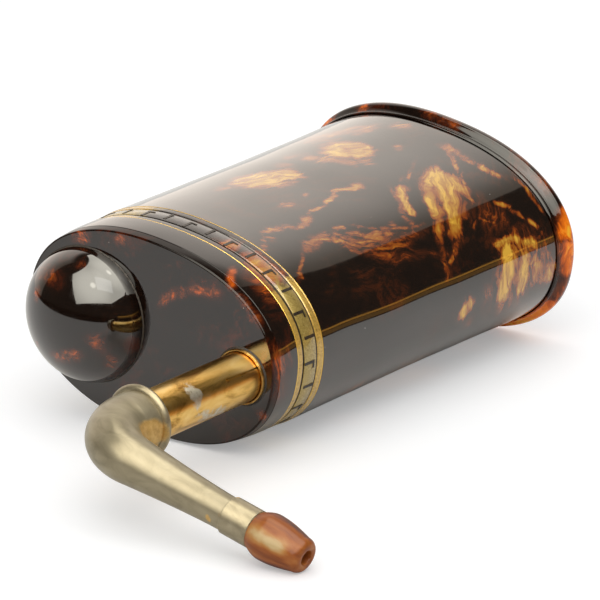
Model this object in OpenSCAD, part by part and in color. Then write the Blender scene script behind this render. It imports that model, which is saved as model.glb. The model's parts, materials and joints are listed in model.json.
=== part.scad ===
// Oval ear trumpet with a domed ear end, a telescopic ear tube, a swivelling elbow and a turned ear tip.
// The body's own axis is Y, from the end plate at y = 0 to the mouth. Lengths are in millimetres.
// The whole object is then laid on the table, z = 0, as it rests: on its cap, on its rim and on the ear tip.

/* [Body] */
// Length from the end plate to the face of the mouth
body_length = 148; // [120:0.5:180]
// Power of the oval outline, where 2 is an ellipse
oval_power = 2.25; // [2:0.05:2.8]
// Half width of the body behind the band
shell_half_width = 45.7; // [41:0.1:51]
// Half height of the body behind the band
shell_half_height = 30.3; // [27:0.1:34]
// How much the mouth is wider than the body behind the band, on each side
mouth_spread = 1.8; // [0.5:0.1:5]
// How much the mouth is lower than the body behind the band, on each side
mouth_squeeze = 0.9; // [0:0.1:2]
// How far the broad sides draw in half way along
side_sag = 0.8; // [0:0.1:2]
// Wall of the shell and of the cap
wall = 1.8; // [1.4:0.1:2.2]

/* [Rim] */
// Length of the moulded rim
rim_length = 7.6; // [6.5:0.1:10]
// How far the rim's flange stands out from the shell
rim_proud = 2.5; // [1.8:0.1:4]
// Length of the rim beyond the shell's own end
rim_lip = 3.5; // [2:0.1:4.5]
// Height of the thin bead that starts the rim
rim_bead = 0.75; // [0.4:0.05:1.2]

/* [Cap] */
// How much the end plate is narrower than the body behind the band, on each side
plate_narrower = 0.9; // [0.6:0.1:2]
// How much the end plate is lower than the body behind the band, on each side
plate_lower = 1.2; // [0.3:0.1:2]
// How much the cap at the band is narrower than the body behind it, on each side
cap_narrower = 0.5; // [0:0.1:0.6]
// How much the cap at the band is lower than the body behind it, on each side
cap_lower = 0.2; // [0:0.1:0.3]
// Thickness of the end plate
plate_thickness = 3; // [2:0.1:4]
// Bevel round the end plate's front edge
plate_bevel = 0.5; // [0.2:0.1:1]
// Thickness of the ring inside the joint of cap and body
joint_ring_wall = 1; // [0.6:0.1:1.3]
// How far the ring inside the joint reaches past the band
joint_ring_past = 4; // [2:0.5:12]

/* [Band] */
// Distance of the band from the end plate
band_start = 11.4; // [10.5:0.1:16]
// Width of the band
band_width = 12; // [10:0.1:16]
// Width of each gold edge wire
wire_width = 2.6; // [1.6:0.1:3]
// Bevel along both edges of each wire
wire_bevel = 0.4; // [0.2:0.05:0.6]
// Width of the dark line that shows between each wire and the gilt strip
line_width = 0.7; // [0.3:0.05:1.5]
// Thickness of the dark ground strip
ground_thickness = 0.3; // [0.15:0.05:0.35]
// Thickness of the gilt strip
strip_thickness = 0.22; // [0.15:0.01:0.4]
// Thickness of each tick
tick_thickness = 0.12; // [0.05:0.01:0.2]
// Number of dark ticks round the band, an even one
tick_count = 32; // [16:2:40]
// Width of each tick
tick_width = 0.9; // [0.5:0.1:1.5]
// Part of the strip's width that each tick crosses
tick_share = 0.82; // [0.6:0.01:0.95]
// Length of the hook at the free end of every second tick
tick_hook = 1.5; // [0.5:0.1:1.7]
// Width of the hook
hook_width = 0.6; // [0.3:0.05:1]

/* [Dome] */
// Radius of the dome's foot
dome_radius = 20.5; // [16:0.1:22]
// Height of the dome over the plate
dome_height = 14; // [10:0.1:20]
// Wall of the dome
dome_wall = 2; // [1.5:0.1:3]
// Width of the plate left of the dome's foot
dome_margin = 1.3; // [1.1:0.1:4]
// How far the dome's axis lies below the body's axis
dome_drop = 1; // [0:0.1:2]

/* [Tube] */
// Outer diameter of the slide tube
tube_diameter = 15; // [12:0.1:17]
// Wall of the slide tube
tube_wall = 0.6; // [0.5:0.05:1]
// Gap between the tube's lock ring and the inside of the cap
tube_side_gap = 0.1; // [0.1:0.1:3]
// Length of tube that shows between the plate and the elbow
tube_shown = 47; // [30:0.5:60]
// Radial running clearance of the tube in its sleeve and in the elbow
tube_clearance = 0.05; // [0.02:0.01:0.1]
// Wall of the guide sleeve
sleeve_wall = 0.45; // [0.4:0.05:0.6]
// Length of the guide sleeve behind the front of the plate
sleeve_length = 25; // [15:0.5:35]
// How far the sleeve's lip stands out from the sleeve
collar_proud = 0.4; // [0.3:0.05:0.6]
// How far the collar stands in front of the plate
collar_height = 1.2; // [0.8:0.1:2]
// Thickness of the leather washer
washer_thickness = 0.8; // [0.5:0.1:1.2]
// Radial thickness of the lock ring
lock_ring_wall = 1.1; // [0.7:0.1:1.6]
// Length of the lock ring
lock_ring_length = 3.5; // [2:0.1:4]
// How far the tube can still be drawn out, as it rests
draw_left = 2; // [0.5:0.1:5]
// Length of the ring on the tube's inner end
tube_lip_length = 1.5; // [1:0.1:3]
// Distance of the spring slits' relief holes in front of the plate
slit_start = 15.3; // [8:0.1:20]
// Width of the spring slits
slit_width = 0.5; // [0.3:0.1:1]
// Diameter of the relief holes
relief_diameter = 1.4; // [1:0.1:2]
// Angle of the first slit round the tube
slit_angle = 43; // [0:1:90]

/* [Elbow] */
// Wall of the bush in the elbow's socket
bush_wall = 1; // [0.5:0.05:1.6]
// Radius of the elbow at its small end
elbow_end_radius = 5.1; // [4.9:0.1:5.4]
// Wall of the elbow
elbow_wall = 0.8; // [0.7:0.1:0.9]
// Length of the straight socket
socket_length = 8.3; // [6:0.1:14]
// Radius of the bend's centre line
bend_radius = 12.6; // [12.3:0.1:18]
// Distance from the tube's axis to the elbow's small end
limb_length = 48; // [36:0.5:70]
// How quickly the limb tapers, where 1 is a plain cone
taper_power = 1.5; // [1:0.1:2.5]
// Height of the rolled bead over the socket
bead_proud = 1.6; // [0.8:0.1:2.4]
// Width of the rolled bead
bead_width = 2.6; // [1.6:0.1:4]

/* [Ear tip] */
// Wall of the spigot
spigot_wall = 0.7; // [0.4:0.05:1]
// Length of the spigot inside the elbow
spigot_inside = 7; // [4:0.5:12]
// Length of the spigot outside the elbow
spigot_outside = 5.8; // [4:0.1:7]
// Radius of the ferrule
ferrule_radius = 5.65; // [5:0.05:6.5]
// Length of the ferrule
ferrule_length = 9.6; // [9:0.1:14]
// Gap at rest between the elbow and the ferrule
ferrule_seam = 0.1; // [0.05:0.05:0.3]
// Greatest radius of the ear tip
tip_radius = 7; // [6:0.1:8]
// Radius of the ear tip just before its rounded end
tip_end_radius = 5.3; // [4.5:0.1:5.9]
// Length of the ear tip in front of the ferrule
tip_length = 17.8; // [13:0.1:24]
// Radius of the bore through the ear tip
tip_bore_radius = 2; // [1:0.1:2.6]

/* [Resting] */
// Roll of the body towards the tube
rest_roll = 9.5; // [4:0.5:12]

/* [Hidden] */
$fn = 72;
oval_sides = 88;
limb_sides = 32;
seat_gap = 0.03;

// Half widths and half heights of the plate, of the cap at the band and of the mouth
plate_half_width = shell_half_width - plate_narrower;
plate_half_height = shell_half_height - plate_lower;
cap_half_width = shell_half_width - cap_narrower;
cap_half_height = shell_half_height - cap_lower;
mouth_half_width = shell_half_width + mouth_spread;
mouth_half_height = shell_half_height - mouth_squeeze;

// Stations along the body's axis
band_end = band_start + band_width;
band_middle = band_start + band_width / 2;
strip_width = band_width - 2 * (wire_width + line_width);
strip_start = band_middle - strip_width / 2;
strip_end = band_middle + strip_width / 2;
rim_start = body_length - rim_length;
shell_end = body_length - rim_lip;

function mix(a, b, t) = a + (b - a) * t;
function stretch(y, y0, y1) = (y - y0) / (y1 - y0);
function bow(t) = 4 * t * (1 - t);

// Half width and half height of the body's outside at y
function half_width(y) =
    y < band_start ? mix(plate_half_width, cap_half_width, sin(90 * y / band_start))
    : y < band_end ? mix(cap_half_width, shell_half_width, stretch(y, band_start, band_end))
    : mix(shell_half_width, mouth_half_width, min(1, stretch(y, band_end, rim_start)));
function half_height(y) =
    y < band_start ? mix(plate_half_height, cap_half_height, sin(90 * y / band_start))
    : y < band_end ? mix(cap_half_height, shell_half_height, stretch(y, band_start, band_end))
    : y < rim_start
    ? mix(shell_half_height, mouth_half_height, stretch(y, band_end, rim_start))
        - side_sag * bow(stretch(y, band_end, rim_start))
    : mouth_half_height;

function rounded(v) = sign(v) * pow(abs(v), 2 / oval_power);
function oval_point(d, y, t) =
    [(half_width(y) + d) * rounded(cos(t)), y, (half_height(y) + d) * rounded(sin(t))];
function oval_ring(d, y) =
    [for (i = [0:oval_sides - 1]) oval_point(d, y, 360 * (i + 0.5) / oval_sides)];

// Lowest reach of an oval of half width a and half height b, when it is rolled by an angle
dual_power = oval_power / (oval_power - 1);
function reach(a, b, roll) =
    pow(pow(a * abs(sin(roll)), dual_power) + pow(b * cos(roll), dual_power), 1 / dual_power);

// The dome's foot stands near the plate's left end
dome_offset = plate_half_width - dome_margin - dome_radius;

// Tube, sleeve and elbow
tube_radius = tube_diameter / 2;
sleeve_bore = tube_radius + tube_clearance;
sleeve_radius = sleeve_bore + sleeve_wall;
collar_radius = sleeve_radius + collar_proud;
tube_lip_radius = sleeve_radius - 0.1;
tube_inner_end = sleeve_length + draw_left + tube_lip_length;
lock_ring_radius = sleeve_radius + lock_ring_wall;
tube_offset = plate_half_width - wall - tube_side_gap - lock_ring_radius;
lock_ring_start = plate_thickness + washer_thickness;
lock_ring_end = lock_ring_start + lock_ring_length;
bend_start = tube_shown + socket_length;
limb_y = -(bend_start + bend_radius);
facet_factor = cos(180 / limb_sides);
bush_radius = sleeve_bore + bush_wall;
elbow_socket_radius = (bush_radius + seat_gap) / facet_factor + elbow_wall;
bend_way = bend_radius * PI / 2;
elbow_way = bend_way + limb_length - bend_radius;
function elbow_radius(way) =
    mix(elbow_end_radius, elbow_socket_radius, pow(1 - way / elbow_way, taper_power));
spigot_radius = (elbow_end_radius - elbow_wall) * facet_factor - seat_gap;
ferrule_start = limb_length + ferrule_seam;
ferrule_end = ferrule_start + ferrule_length;
ferrule_bore = spigot_radius + tube_clearance;
spigot_end = limb_length + spigot_outside;
shank_start = spigot_end + 0.3;
tip_end = ferrule_end + tip_length;
tip_countersink = 1.2;

// Outline of the ear tip as [distance from the tube's axis, radius]
tip_swell_at = 0.26;
tip_round_at = 0.86;
tip_outline = concat(
    [[ferrule_end, ferrule_radius - 0.15]],
    [for (t = [0.15:0.17:1]) [ferrule_end + tip_length * tip_swell_at * t,
        mix(ferrule_radius - 0.15, tip_radius, sin(90 * t))]],
    [for (t = [0.2:0.2:1]) [ferrule_end + tip_length * mix(tip_swell_at, tip_round_at, t),
        mix(tip_radius, tip_end_radius, 1 - cos(90 * t))]],
    [for (a = [25:25:75]) [mix(ferrule_end + tip_length * tip_round_at, tip_end, sin(a)),
        mix(tip_bore_radius + 1.3, tip_end_radius, cos(a))]],
    [[tip_end, tip_bore_radius + 1.3]]);

// The band's strips lie in a groove, one on the other, as outsets from the body's surface
strip_top = -tick_thickness - seat_gap;
inlay_bottom = strip_top - strip_thickness;
ground_top = inlay_bottom - seat_gap;
ground_bottom = ground_top - ground_thickness;
groove = ground_bottom - seat_gap;

// Rings of the cap and of the shell
cap_rings = 3;
shell_rings = 6;
cap_stations = [for (i = [0:cap_rings]) mix(plate_thickness, band_start, i / cap_rings)];
shell_stations = [for (i = [0:shell_rings]) mix(band_end, rim_start, i / shell_rings)];

// The body rests on its rim and on its fullest ring near the band, which sets its pitch
rim_top = body_length - rim_length * 0.34;
drop_rim = reach(mouth_half_width + rim_proud, mouth_half_height + rim_proud, rest_roll);
rest_pitch = min([for (y = concat(cap_stations, shell_stations))
    atan((drop_rim - reach(half_width(y), half_height(y), rest_roll)) / (rim_top - y))]);
rest_height = drop_rim * cos(rest_pitch) - rim_top * sin(rest_pitch);

// The limb swings down until the ear tip touches the table
limb_height = rest_height + limb_y * sin(rest_pitch) - tube_offset * sin(rest_roll) * cos(rest_pitch);
limb_dip = min([for (p = tip_outline) asin(limb_height / norm(p)) - atan(p[1] / p[0])]);
limb_droop = asin(sin(limb_dip) / cos(rest_pitch)) - rest_roll;

// The origin is on the table, under the middle of the object's box
tip_reach_x = tube_offset * cos(rest_roll)
    + max([for (p = tip_outline) p[0] * cos(limb_dip) + p[1] * sin(limb_dip)]);
rim_reach_x = reach(mouth_half_height + rim_proud, mouth_half_width + rim_proud, rest_roll);
rim_reach_y = body_length * cos(rest_pitch) + drop_rim * sin(rest_pitch);
elbow_reach_y = (-limb_y + elbow_radius(bend_way)) * cos(rest_pitch);
frame_x = (tip_reach_x - rim_reach_x) / 2;
frame_y = (rim_reach_y - elbow_reach_y) / 2;

// Closed ring of the body's oval, swept round from a closed profile of [outset, y] points
module oval_sweep(profile) {
    rows = len(profile);
    points = [for (p = profile) each oval_ring(p[0], p[1])];
    faces = [for (r = [0:rows - 1], i = [0:oval_sides - 1])
        let (j = (i + 1) % oval_sides, s = (r + 1) % rows)
        each [[r * oval_sides + i, r * oval_sides + j, s * oval_sides + i],
            [r * oval_sides + j, s * oval_sides + j, s * oval_sides + i]]];
    polyhedron(points, faces, convexity = 6);
}

// Solid of the body's oval, from an open profile of [outset, y] points, front to back
module oval_solid(profile) {
    rows = len(profile);
    points = [for (p = profile) each oval_ring(p[0], p[1])];
    sides = [for (r = [0:rows - 2], i = [0:oval_sides - 1])
        let (j = (i + 1) % oval_sides)
        each [[r * oval_sides + i, r * oval_sides + j, (r + 1) * oval_sides + i],
            [r * oval_sides + j, (r + 1) * oval_sides + j, (r + 1) * oval_sides + i]]];
    front = [for (i = [oval_sides - 1:-1:0]) i];
    back = [for (i = [0:oval_sides - 1]) (rows - 1) * oval_sides + i];
    polyhedron(points, concat([front], sides, [back]), convexity = 2);
}

// Sets round things with their own axis z along the body's axis
module along_y(x = 0, z = 0) {
    translate([x, 0, z]) rotate([-90, 0, 0]) children();
}

// Tube between y0 and y1 along the body's axis
module y_tube(outer, inner, y0, y1) {
    translate([0, 0, y0]) difference() {
        cylinder(r = outer, h = y1 - y0);
        translate([0, 0, -1]) cylinder(r = inner, h = y1 - y0 + 2);
    }
}

// The limb's frame: x runs along the limb from the tube's axis, y stays the body's axis
module limb_frame() {
    translate([tube_offset, 0, 0]) rotate([0, limb_droop, 0]) children();
}

// Sets round things with their own axis z along the limb
module along_limb() {
    limb_frame() translate([0, limb_y, 0]) rotate([0, 90, 0]) children();
}

// Lays the object on the table as it rests
module lay() {
    translate([-frame_x, -frame_y, rest_height])
        rotate([rest_pitch, 0, 0]) rotate([0, rest_roll, 0]) children();
}

module body_shell() {
    outside = [for (y = shell_stations) [0, y]];
    inside = [for (i = [shell_rings:-1:0]) [-wall, shell_stations[i]]];
    color("#3a1c0e") lay() oval_sweep(concat(
        [[-wall, band_middle], [groove, band_middle], [groove, band_end]],
        outside, [[0, shell_end], [-wall, shell_end]], inside));
}

module mouth_rim() {
    flange = rim_length * 0.48;
    color("#5a2610") lay() oval_sweep([
        [0, rim_start], [rim_bead, rim_start + 0.5], [rim_bead, rim_start + 1.2],
        [rim_bead * 0.4, rim_start + 1.9], [rim_bead, rim_start + 2.6],
        [rim_proud * 0.65, body_length - flange - 0.6], [rim_proud * 0.92, body_length - flange],
        [rim_proud, rim_top], [rim_proud * 0.9, rim_top + flange * 0.38],
        [rim_proud * 0.55, body_length - 0.25], [rim_proud * 0.2, body_length],
        [-wall + 0.5, body_length], [-wall, body_length - 0.5], [-wall, shell_end], [0, shell_end]]);
}

module cap_wall() {
    color("#2c140b") lay() oval_sweep(concat(
        [for (y = cap_stations) [0, y]],
        [[groove, band_start], [groove, band_middle], [-wall, band_middle]],
        [for (i = [cap_rings:-1:0]) [-wall, cap_stations[i]]]));
}

module end_plate() {
    color("#261209") lay() difference() {
        oval_solid([[-plate_bevel, 0], [0, plate_bevel], [0, plate_thickness]]);
        along_y(-dome_offset, -dome_drop)
            translate([0, 0, -1]) cylinder(r = dome_radius - dome_wall, h = plate_thickness + 2);
        along_y(tube_offset)
            translate([0, 0, -1]) cylinder(r = sleeve_radius + seat_gap, h = plate_thickness + 2);
    }
}

module joint_ring() {
    start = lock_ring_end + seat_gap;
    end = band_end + joint_ring_past;
    outset = -wall - 2 * seat_gap;
    color("#4a2414") lay() oval_sweep([
        [outset, start], [outset, band_start], [outset, band_end], [outset, end],
        [outset - joint_ring_wall, end], [outset - joint_ring_wall, start]]);
}

module dome() {
    steps = 14;
    seat_radius = dome_radius - dome_wall - seat_gap;
    inner_radius = seat_radius - dome_wall;
    inner_height = dome_height - dome_wall;
    outside = [for (i = [0:steps]) [dome_radius * cos(90 * i / steps), -dome_height * sin(90 * i / steps)]];
    inside = [for (i = [steps:-1:0])
        [inner_radius * cos(90 * i / steps), -inner_height * sin(90 * i / steps)]];
    color("#2e1208") lay() along_y(-dome_offset, -dome_drop) rotate_extrude() polygon(concat(
        [[seat_radius, 0]], outside, inside,
        [[inner_radius, plate_thickness], [seat_radius, plate_thickness]]));
}

module band_ground() {
    color("#1c140c") lay() oval_sweep([
        [ground_bottom, band_start], [ground_top, band_start],
        [ground_top, band_end], [ground_bottom, band_end]]);
}

module band_strip() {
    color("#a89a5c") lay() oval_sweep([
        [inlay_bottom, strip_start], [strip_top, strip_start],
        [strip_top, strip_end], [inlay_bottom, strip_end]]);
}

module band_wire(start) {
    color("#d8a83a") lay() oval_sweep([
        [inlay_bottom, start], [0, start + wire_bevel],
        [0, start + wire_width - wire_bevel], [inlay_bottom, start + wire_width]]);
}

module band_wire_near() {
    band_wire(band_start);
}

module band_wire_far() {
    band_wire(band_end - wire_width);
}

// Ticks stand at even steps of the way round, every second one on the near line with a hook, and
// the others on the far line
tick_phase = 0.27;
function way_round(ring) = [for (i = 0, s = 0; i <= oval_sides; s = s + norm(
    ring[(i + 1) % oval_sides] - ring[i % oval_sides]), i = i + 1) s];
function at_way(ring, ways, s) =
    let (i = max([for (k = [0:oval_sides - 1]) if (ways[k] <= s) k]))
    mix(ring[i], ring[(i + 1) % oval_sides], (s - ways[i]) / (ways[i + 1] - ways[i]));

// Block of the tick k, between two distances along the way and two stations y
module tick_block(k, along, stations) {
    rings = [for (y = stations, d = [-tick_thickness, 0]) oval_ring(d, y)];
    points = [for (ring = rings, off = along)
        let (ways = way_round(ring))
        at_way(ring, ways, ways[oval_sides] * (k + tick_phase) / tick_count + off)];
    hull() polyhedron(points, [[0, 1, 3, 2], [4, 6, 7, 5], [0, 2, 6, 4], [1, 5, 7, 3], [2, 3, 7, 6],
        [0, 4, 5, 1]]);
}

module band_ticks() {
    reach = strip_width * tick_share;
    half = tick_width / 2;
    color("#20180f") lay() for (k = [0:2:tick_count - 2]) {
        tick_block(k, [-half, half], [strip_start, strip_start + reach]);
        tick_block(k, [-half - tick_hook, 0], [strip_start + reach - hook_width, strip_start + reach]);
        tick_block(k + 1, [-half, half], [strip_end - reach, strip_end]);
    }
}

module guide_sleeve() {
    mouth = 0.35;
    color("#b08a3c") lay() along_y(tube_offset) rotate_extrude() polygon([
        [sleeve_bore, -collar_height + 1], [sleeve_bore + mouth, -collar_height],
        [collar_radius - 0.25, -collar_height], [collar_radius, -collar_height + 0.25],
        [collar_radius, 0], [sleeve_radius, 0], [sleeve_radius, sleeve_length],
        [sleeve_bore, sleeve_length]]);
}

module sleeve_washer() {
    color("#6b4a2b") lay() along_y(tube_offset)
        y_tube(lock_ring_radius, sleeve_radius + seat_gap, plate_thickness, lock_ring_start);
}

module lock_ring() {
    notch = 1.6;
    color("#b8903f") lay() along_y(tube_offset) difference() {
        y_tube(lock_ring_radius, sleeve_radius + seat_gap, lock_ring_start, lock_ring_end);
        for (a = [90, 270]) rotate([0, 0, a])
            translate([sleeve_radius - 1, -notch / 2, lock_ring_end - 1])
                cube([lock_ring_wall + 2, notch, 2]);
    }
}

module slide_tube() {
    slit_end = sleeve_length - 3;
    color("#d39a3c") lay() along_y(tube_offset) difference() {
        y_tube(tube_radius, tube_radius - tube_wall, -bend_start + 0.5, tube_inner_end);
        for (side = [0, 180]) rotate([0, 0, -slit_angle + side]) {
            translate([0, -slit_width / 2, -slit_start])
                cube([tube_radius + 1, slit_width, slit_end + slit_start]);
            for (z = [-slit_start, slit_end]) translate([0, 0, z])
                rotate([0, 90, 0]) cylinder(d = relief_diameter, h = tube_radius + 1);
        }
    }
}

module tube_lip() {
    color("#b8862f") lay() along_y(tube_offset)
        y_tube(tube_lip_radius, tube_radius, tube_inner_end - tube_lip_length, tube_inner_end);
}

// Stations of the elbow's centre line as [along the limb, along the body's axis, turn, way]
bend_steps = 10;
limb_steps = 7;
elbow_stations = concat(
    [[0, -tube_shown, 0, 0]],
    [for (i = [0:bend_steps]) let (a = 90 * i / bend_steps)
        [bend_radius * (1 - cos(a)), -bend_start - bend_radius * sin(a), a, bend_way * i / bend_steps]],
    [for (i = [1:limb_steps]) let (x = mix(bend_radius, limb_length, i / limb_steps))
        [x, limb_y, 90, bend_way + x - bend_radius]]);
function elbow_ring(s, inset) = [for (i = [0:limb_sides - 1])
    let (r = elbow_radius(s[3]) - inset, a = 360 * (i + 0.5) / limb_sides)
    [s[0] + r * cos(a) * cos(s[2]), s[1] + r * cos(a) * sin(s[2]), r * sin(a)]];

module elbow() {
    rows = len(elbow_stations);
    rings = concat([for (s = elbow_stations) elbow_ring(s, 0)],
        [for (i = [rows - 1:-1:0]) elbow_ring(elbow_stations[i], elbow_wall)]);
    count = 2 * rows;
    faces = [for (r = [0:count - 1], i = [0:limb_sides - 1])
        let (j = (i + 1) % limb_sides, s = (r + 1) % count)
        each [[r * limb_sides + i, r * limb_sides + j, s * limb_sides + i],
            [r * limb_sides + j, s * limb_sides + j, s * limb_sides + i]]];
    color("#b9ae97") lay() limb_frame()
        polyhedron([for (r = rings) each r], faces, convexity = 6);
}

module elbow_bead() {
    color("#c2b493") lay() along_y(tube_offset) rotate_extrude() polygon(concat(
        [[elbow_socket_radius, -tube_shown], [elbow_socket_radius, -tube_shown - bead_width]],
        [for (a = [-75:15:75]) [elbow_socket_radius + bead_proud * cos(a),
            -tube_shown - bead_width / 2 + bead_width / 2 * sin(a)]]));
}

module elbow_bush() {
    color("#a57a35") lay() along_y(tube_offset)
        y_tube(bush_radius, sleeve_bore, -bend_start + 0.2, -tube_shown);
}

module spigot() {
    color("#b58a3c") lay() along_limb()
        y_tube(spigot_radius, spigot_radius - spigot_wall, limb_length - spigot_inside, spigot_end);
}

module ferrule() {
    chamfer = 0.25;
    color("#b9ae97") lay() along_limb() rotate_extrude() polygon([
        [ferrule_bore, ferrule_start], [ferrule_radius - chamfer, ferrule_start],
        [ferrule_radius, ferrule_start + chamfer], [ferrule_radius, ferrule_end - chamfer],
        [ferrule_radius - chamfer, ferrule_end], [ferrule_bore, ferrule_end]]);
}

module ear_tip() {
    color("#a5562b") lay() along_limb() rotate_extrude() polygon(concat(
        [[tip_bore_radius, shank_start], [ferrule_bore, shank_start], [ferrule_bore, ferrule_end]],
        [for (p = tip_outline) [p[1], p[0]]],
        [[tip_bore_radius + 0.7, tip_end], [tip_bore_radius, tip_end - tip_countersink]]));
}

body_shell();
mouth_rim();
cap_wall();
end_plate();
joint_ring();
dome();
band_ground();
band_strip();
band_wire_near();
band_wire_far();
band_ticks();
guide_sleeve();
sleeve_washer();
lock_ring();
slide_tube();
tube_lip();
elbow();
elbow_bead();
elbow_bush();
spigot();
ferrule();
ear_tip();
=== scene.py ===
"""The looks of the oval ear trumpet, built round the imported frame.

Sizes are in millimetres in the body's own frame, as in the part's source: y runs from the end
plate, y = 0, to the mouth, x points towards the tube and z up. BODY lays that frame on the table.
"""

import json
import math

import bmesh
import bpy
import numpy as np
from mathutils import Matrix, Vector, geometry, noise


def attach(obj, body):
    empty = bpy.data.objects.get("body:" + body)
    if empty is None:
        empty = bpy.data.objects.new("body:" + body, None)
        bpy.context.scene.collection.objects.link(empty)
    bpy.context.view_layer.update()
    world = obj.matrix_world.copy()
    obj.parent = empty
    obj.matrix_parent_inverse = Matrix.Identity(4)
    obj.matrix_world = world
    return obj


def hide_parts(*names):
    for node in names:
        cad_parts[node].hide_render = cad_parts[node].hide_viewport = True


MM = 0.001
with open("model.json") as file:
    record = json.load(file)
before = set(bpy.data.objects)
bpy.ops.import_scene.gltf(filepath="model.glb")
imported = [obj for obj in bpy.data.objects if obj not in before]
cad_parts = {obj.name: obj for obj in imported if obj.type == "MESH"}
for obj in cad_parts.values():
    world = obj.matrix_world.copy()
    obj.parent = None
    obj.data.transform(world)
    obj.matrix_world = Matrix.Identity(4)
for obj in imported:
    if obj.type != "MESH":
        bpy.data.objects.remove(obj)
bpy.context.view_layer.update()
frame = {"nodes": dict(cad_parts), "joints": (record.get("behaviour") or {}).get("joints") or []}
scene = bpy.context.scene
joints = {joint["name"]: joint for joint in frame["joints"]}

# Sizes of the part's source
OVAL_POWER = 2.25
SHELL_HALF = (45.7, 30.3)
PLATE_HALF = (44.8, 29.1)
CAP_HALF = (45.2, 30.1)
MOUTH_HALF = (47.5, 29.4)
SIDE_SAG = 0.8
WALL = 1.8
BAND_START, BAND_END = 11.4, 23.4
BAND_MIDDLE = (BAND_START + BAND_END) / 2
STRIP_HALF, WIRE_WIDTH = 2.7, 2.6
STRIP_TOP, INLAY, GROOVE = -0.15, -0.37, -0.73
PLATE_THICKNESS = 3.0
RIM_START, SHELL_END, BODY_LENGTH = 140.4, 144.5, 148.0
RIM_PROUD, RIM_BEAD, RIM_TOP = 2.5, 0.75, 145.416
DOME_X, DOME_Z, DOME_RADIUS, DOME_HEIGHT, DOME_WALL = -23.0, -1.0, 20.5, 14.0, 2.0
TUBE_X, TUBE_RADIUS, SLEEVE_RADIUS, SLEEVE_END, TUBE_SHOWN = 33.8, 7.5, 8.0, 25.0, 47.0
SOCKET_RADIUS, SOCKET_LENGTH, ELBOW_END_RADIUS, ELBOW_WALL = 9.42, 8.3, 5.1, 0.8
BEND_RADIUS, LIMB_LENGTH, TAPER_POWER = 12.6, 48.0, 1.5
BEAD_PROUD, BEAD_WIDTH = 1.6, 2.6
FERRULE_END, TIP_LENGTH, TIP_RADIUS, TIP_END_RADIUS, TIP_BORE = 57.7, 17.8, 7.0, 5.3, 2.0
SHANK_RADIUS, SHANK_START, TIP_START_RADIUS = 4.29, 54.1, 5.5
BEVEL, SEAT_GAP = 0.15, 0.03

# Details of the skins
RING, ROUND, DOME_ROUND = 240, 120, 160  # points round the body, the tubes and the dome
OVERLAP = 0.02  # of cap and shell into the band's groove
WAVE_SCALE, SHELL_WAVE, CAP_WAVE = 0.045, 0.14, 0.12
TIP_SWELL, TIP_ROUNDING = 0.26, 0.86  # where the tip is widest, and where its round end starts

# The body's frame and the limb's frame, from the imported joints
ROLL = math.radians(9.5)
PITCH = math.asin(joints["tube_slide"]["axis"][2])
SOCKET_MIDDLE = Vector((TUBE_X, -TUBE_SHOWN - SOCKET_LENGTH / 2, 0)) * MM
TURN = Matrix.Rotation(PITCH, 4, "X") @ Matrix.Rotation(ROLL, 4, "Y")
BODY = Matrix.Translation(Vector(joints["elbow_swivel"]["pos_m"]) - TURN @ SOCKET_MIDDLE) @ TURN
limb_axis = TURN.inverted() @ Vector(joints["nozzle_pull"]["axis"])
DROOP = math.atan2(-limb_axis.z, limb_axis.x)
LIMB_Y = -(TUBE_SHOWN + SOCKET_LENGTH + BEND_RADIUS)
LIMB = BODY @ Matrix.Translation((TUBE_X * MM, 0, 0)) @ Matrix.Rotation(DROOP, 4, "Y")


# Shapes

def blend(a, b, t):
    return a + (b - a) * t


def half_size(y, axis):
    """Half width (axis 0) or half height (axis 1) of the body's outside at y."""
    plate, cap, shell, mouth = (half[axis] for half in (PLATE_HALF, CAP_HALF, SHELL_HALF, MOUTH_HALF))
    if y < BAND_START:
        return blend(plate, cap, math.sin(math.pi / 2 * max(y, 0) / BAND_START))
    if y < BAND_END:
        return blend(cap, shell, (y - BAND_START) / (BAND_END - BAND_START))
    t = min(1, (y - BAND_END) / (RIM_START - BAND_END))
    return blend(shell, mouth, t) - (4 * SIDE_SAG * t * (1 - t) if axis else 0)


def oval_ring(outset, y):
    """Points of the body's oval at y, moved out by outset."""
    turns = (np.arange(RING) + 0.5) * 2 * math.pi / RING
    c, s = np.cos(turns), np.sin(turns)
    bulge = 2 / OVAL_POWER
    x = (half_size(y, 0) + outset) * np.sign(c) * np.abs(c) ** bulge
    z = (half_size(y, 1) + outset) * np.sign(s) * np.abs(s) ** bulge
    return np.stack([x, np.full(RING, y), z], axis=1)


def circle(x, z, radius, y, count=ROUND):
    """Points of a circle that faces along y."""
    turns = np.arange(count) * 2 * math.pi / count
    return np.stack([x + radius * np.cos(turns), np.full(count, y), z + radius * np.sin(turns)], axis=1)


def lathe_rings(profile, count=ROUND):
    """Rings round the y axis, from points of [radius, y]."""
    return [circle(0, 0, radius, y, count) for radius, y in profile]


def rounded_corners(profile, rounds):
    """Cuts the corners of a closed profile, which rounds them a little."""
    points = np.array(profile, float)
    for _ in range(rounds):
        following = np.roll(points, -1, axis=0)
        points = np.concatenate([blend(points, following, 0.25), blend(points, following, 0.75)], axis=1)
        points = points.reshape(-1, 2)
    return points


def ring_faces(rows, count, closed):
    """Four-sided faces between rings that follow each other."""
    faces = []
    for row in range(rows if closed else rows - 1):
        near, far = row * count, (row + 1) % rows * count
        for i in range(count):
            j = (i + 1) % count
            faces.append((near + i, near + j, far + j, far + i))
    return faces


def add_object(name, data):
    made = bpy.data.objects.new(name, data)
    scene.collection.objects.link(made)
    return made


def smooth(mesh, sharp):
    """Shades a mesh smooth, apart from edges that bend by more than the angle sharp."""
    mesh.polygons.foreach_set("use_smooth", [True] * len(mesh.polygons))
    mesh.set_sharp_from_angle(angle=math.radians(sharp))


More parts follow.
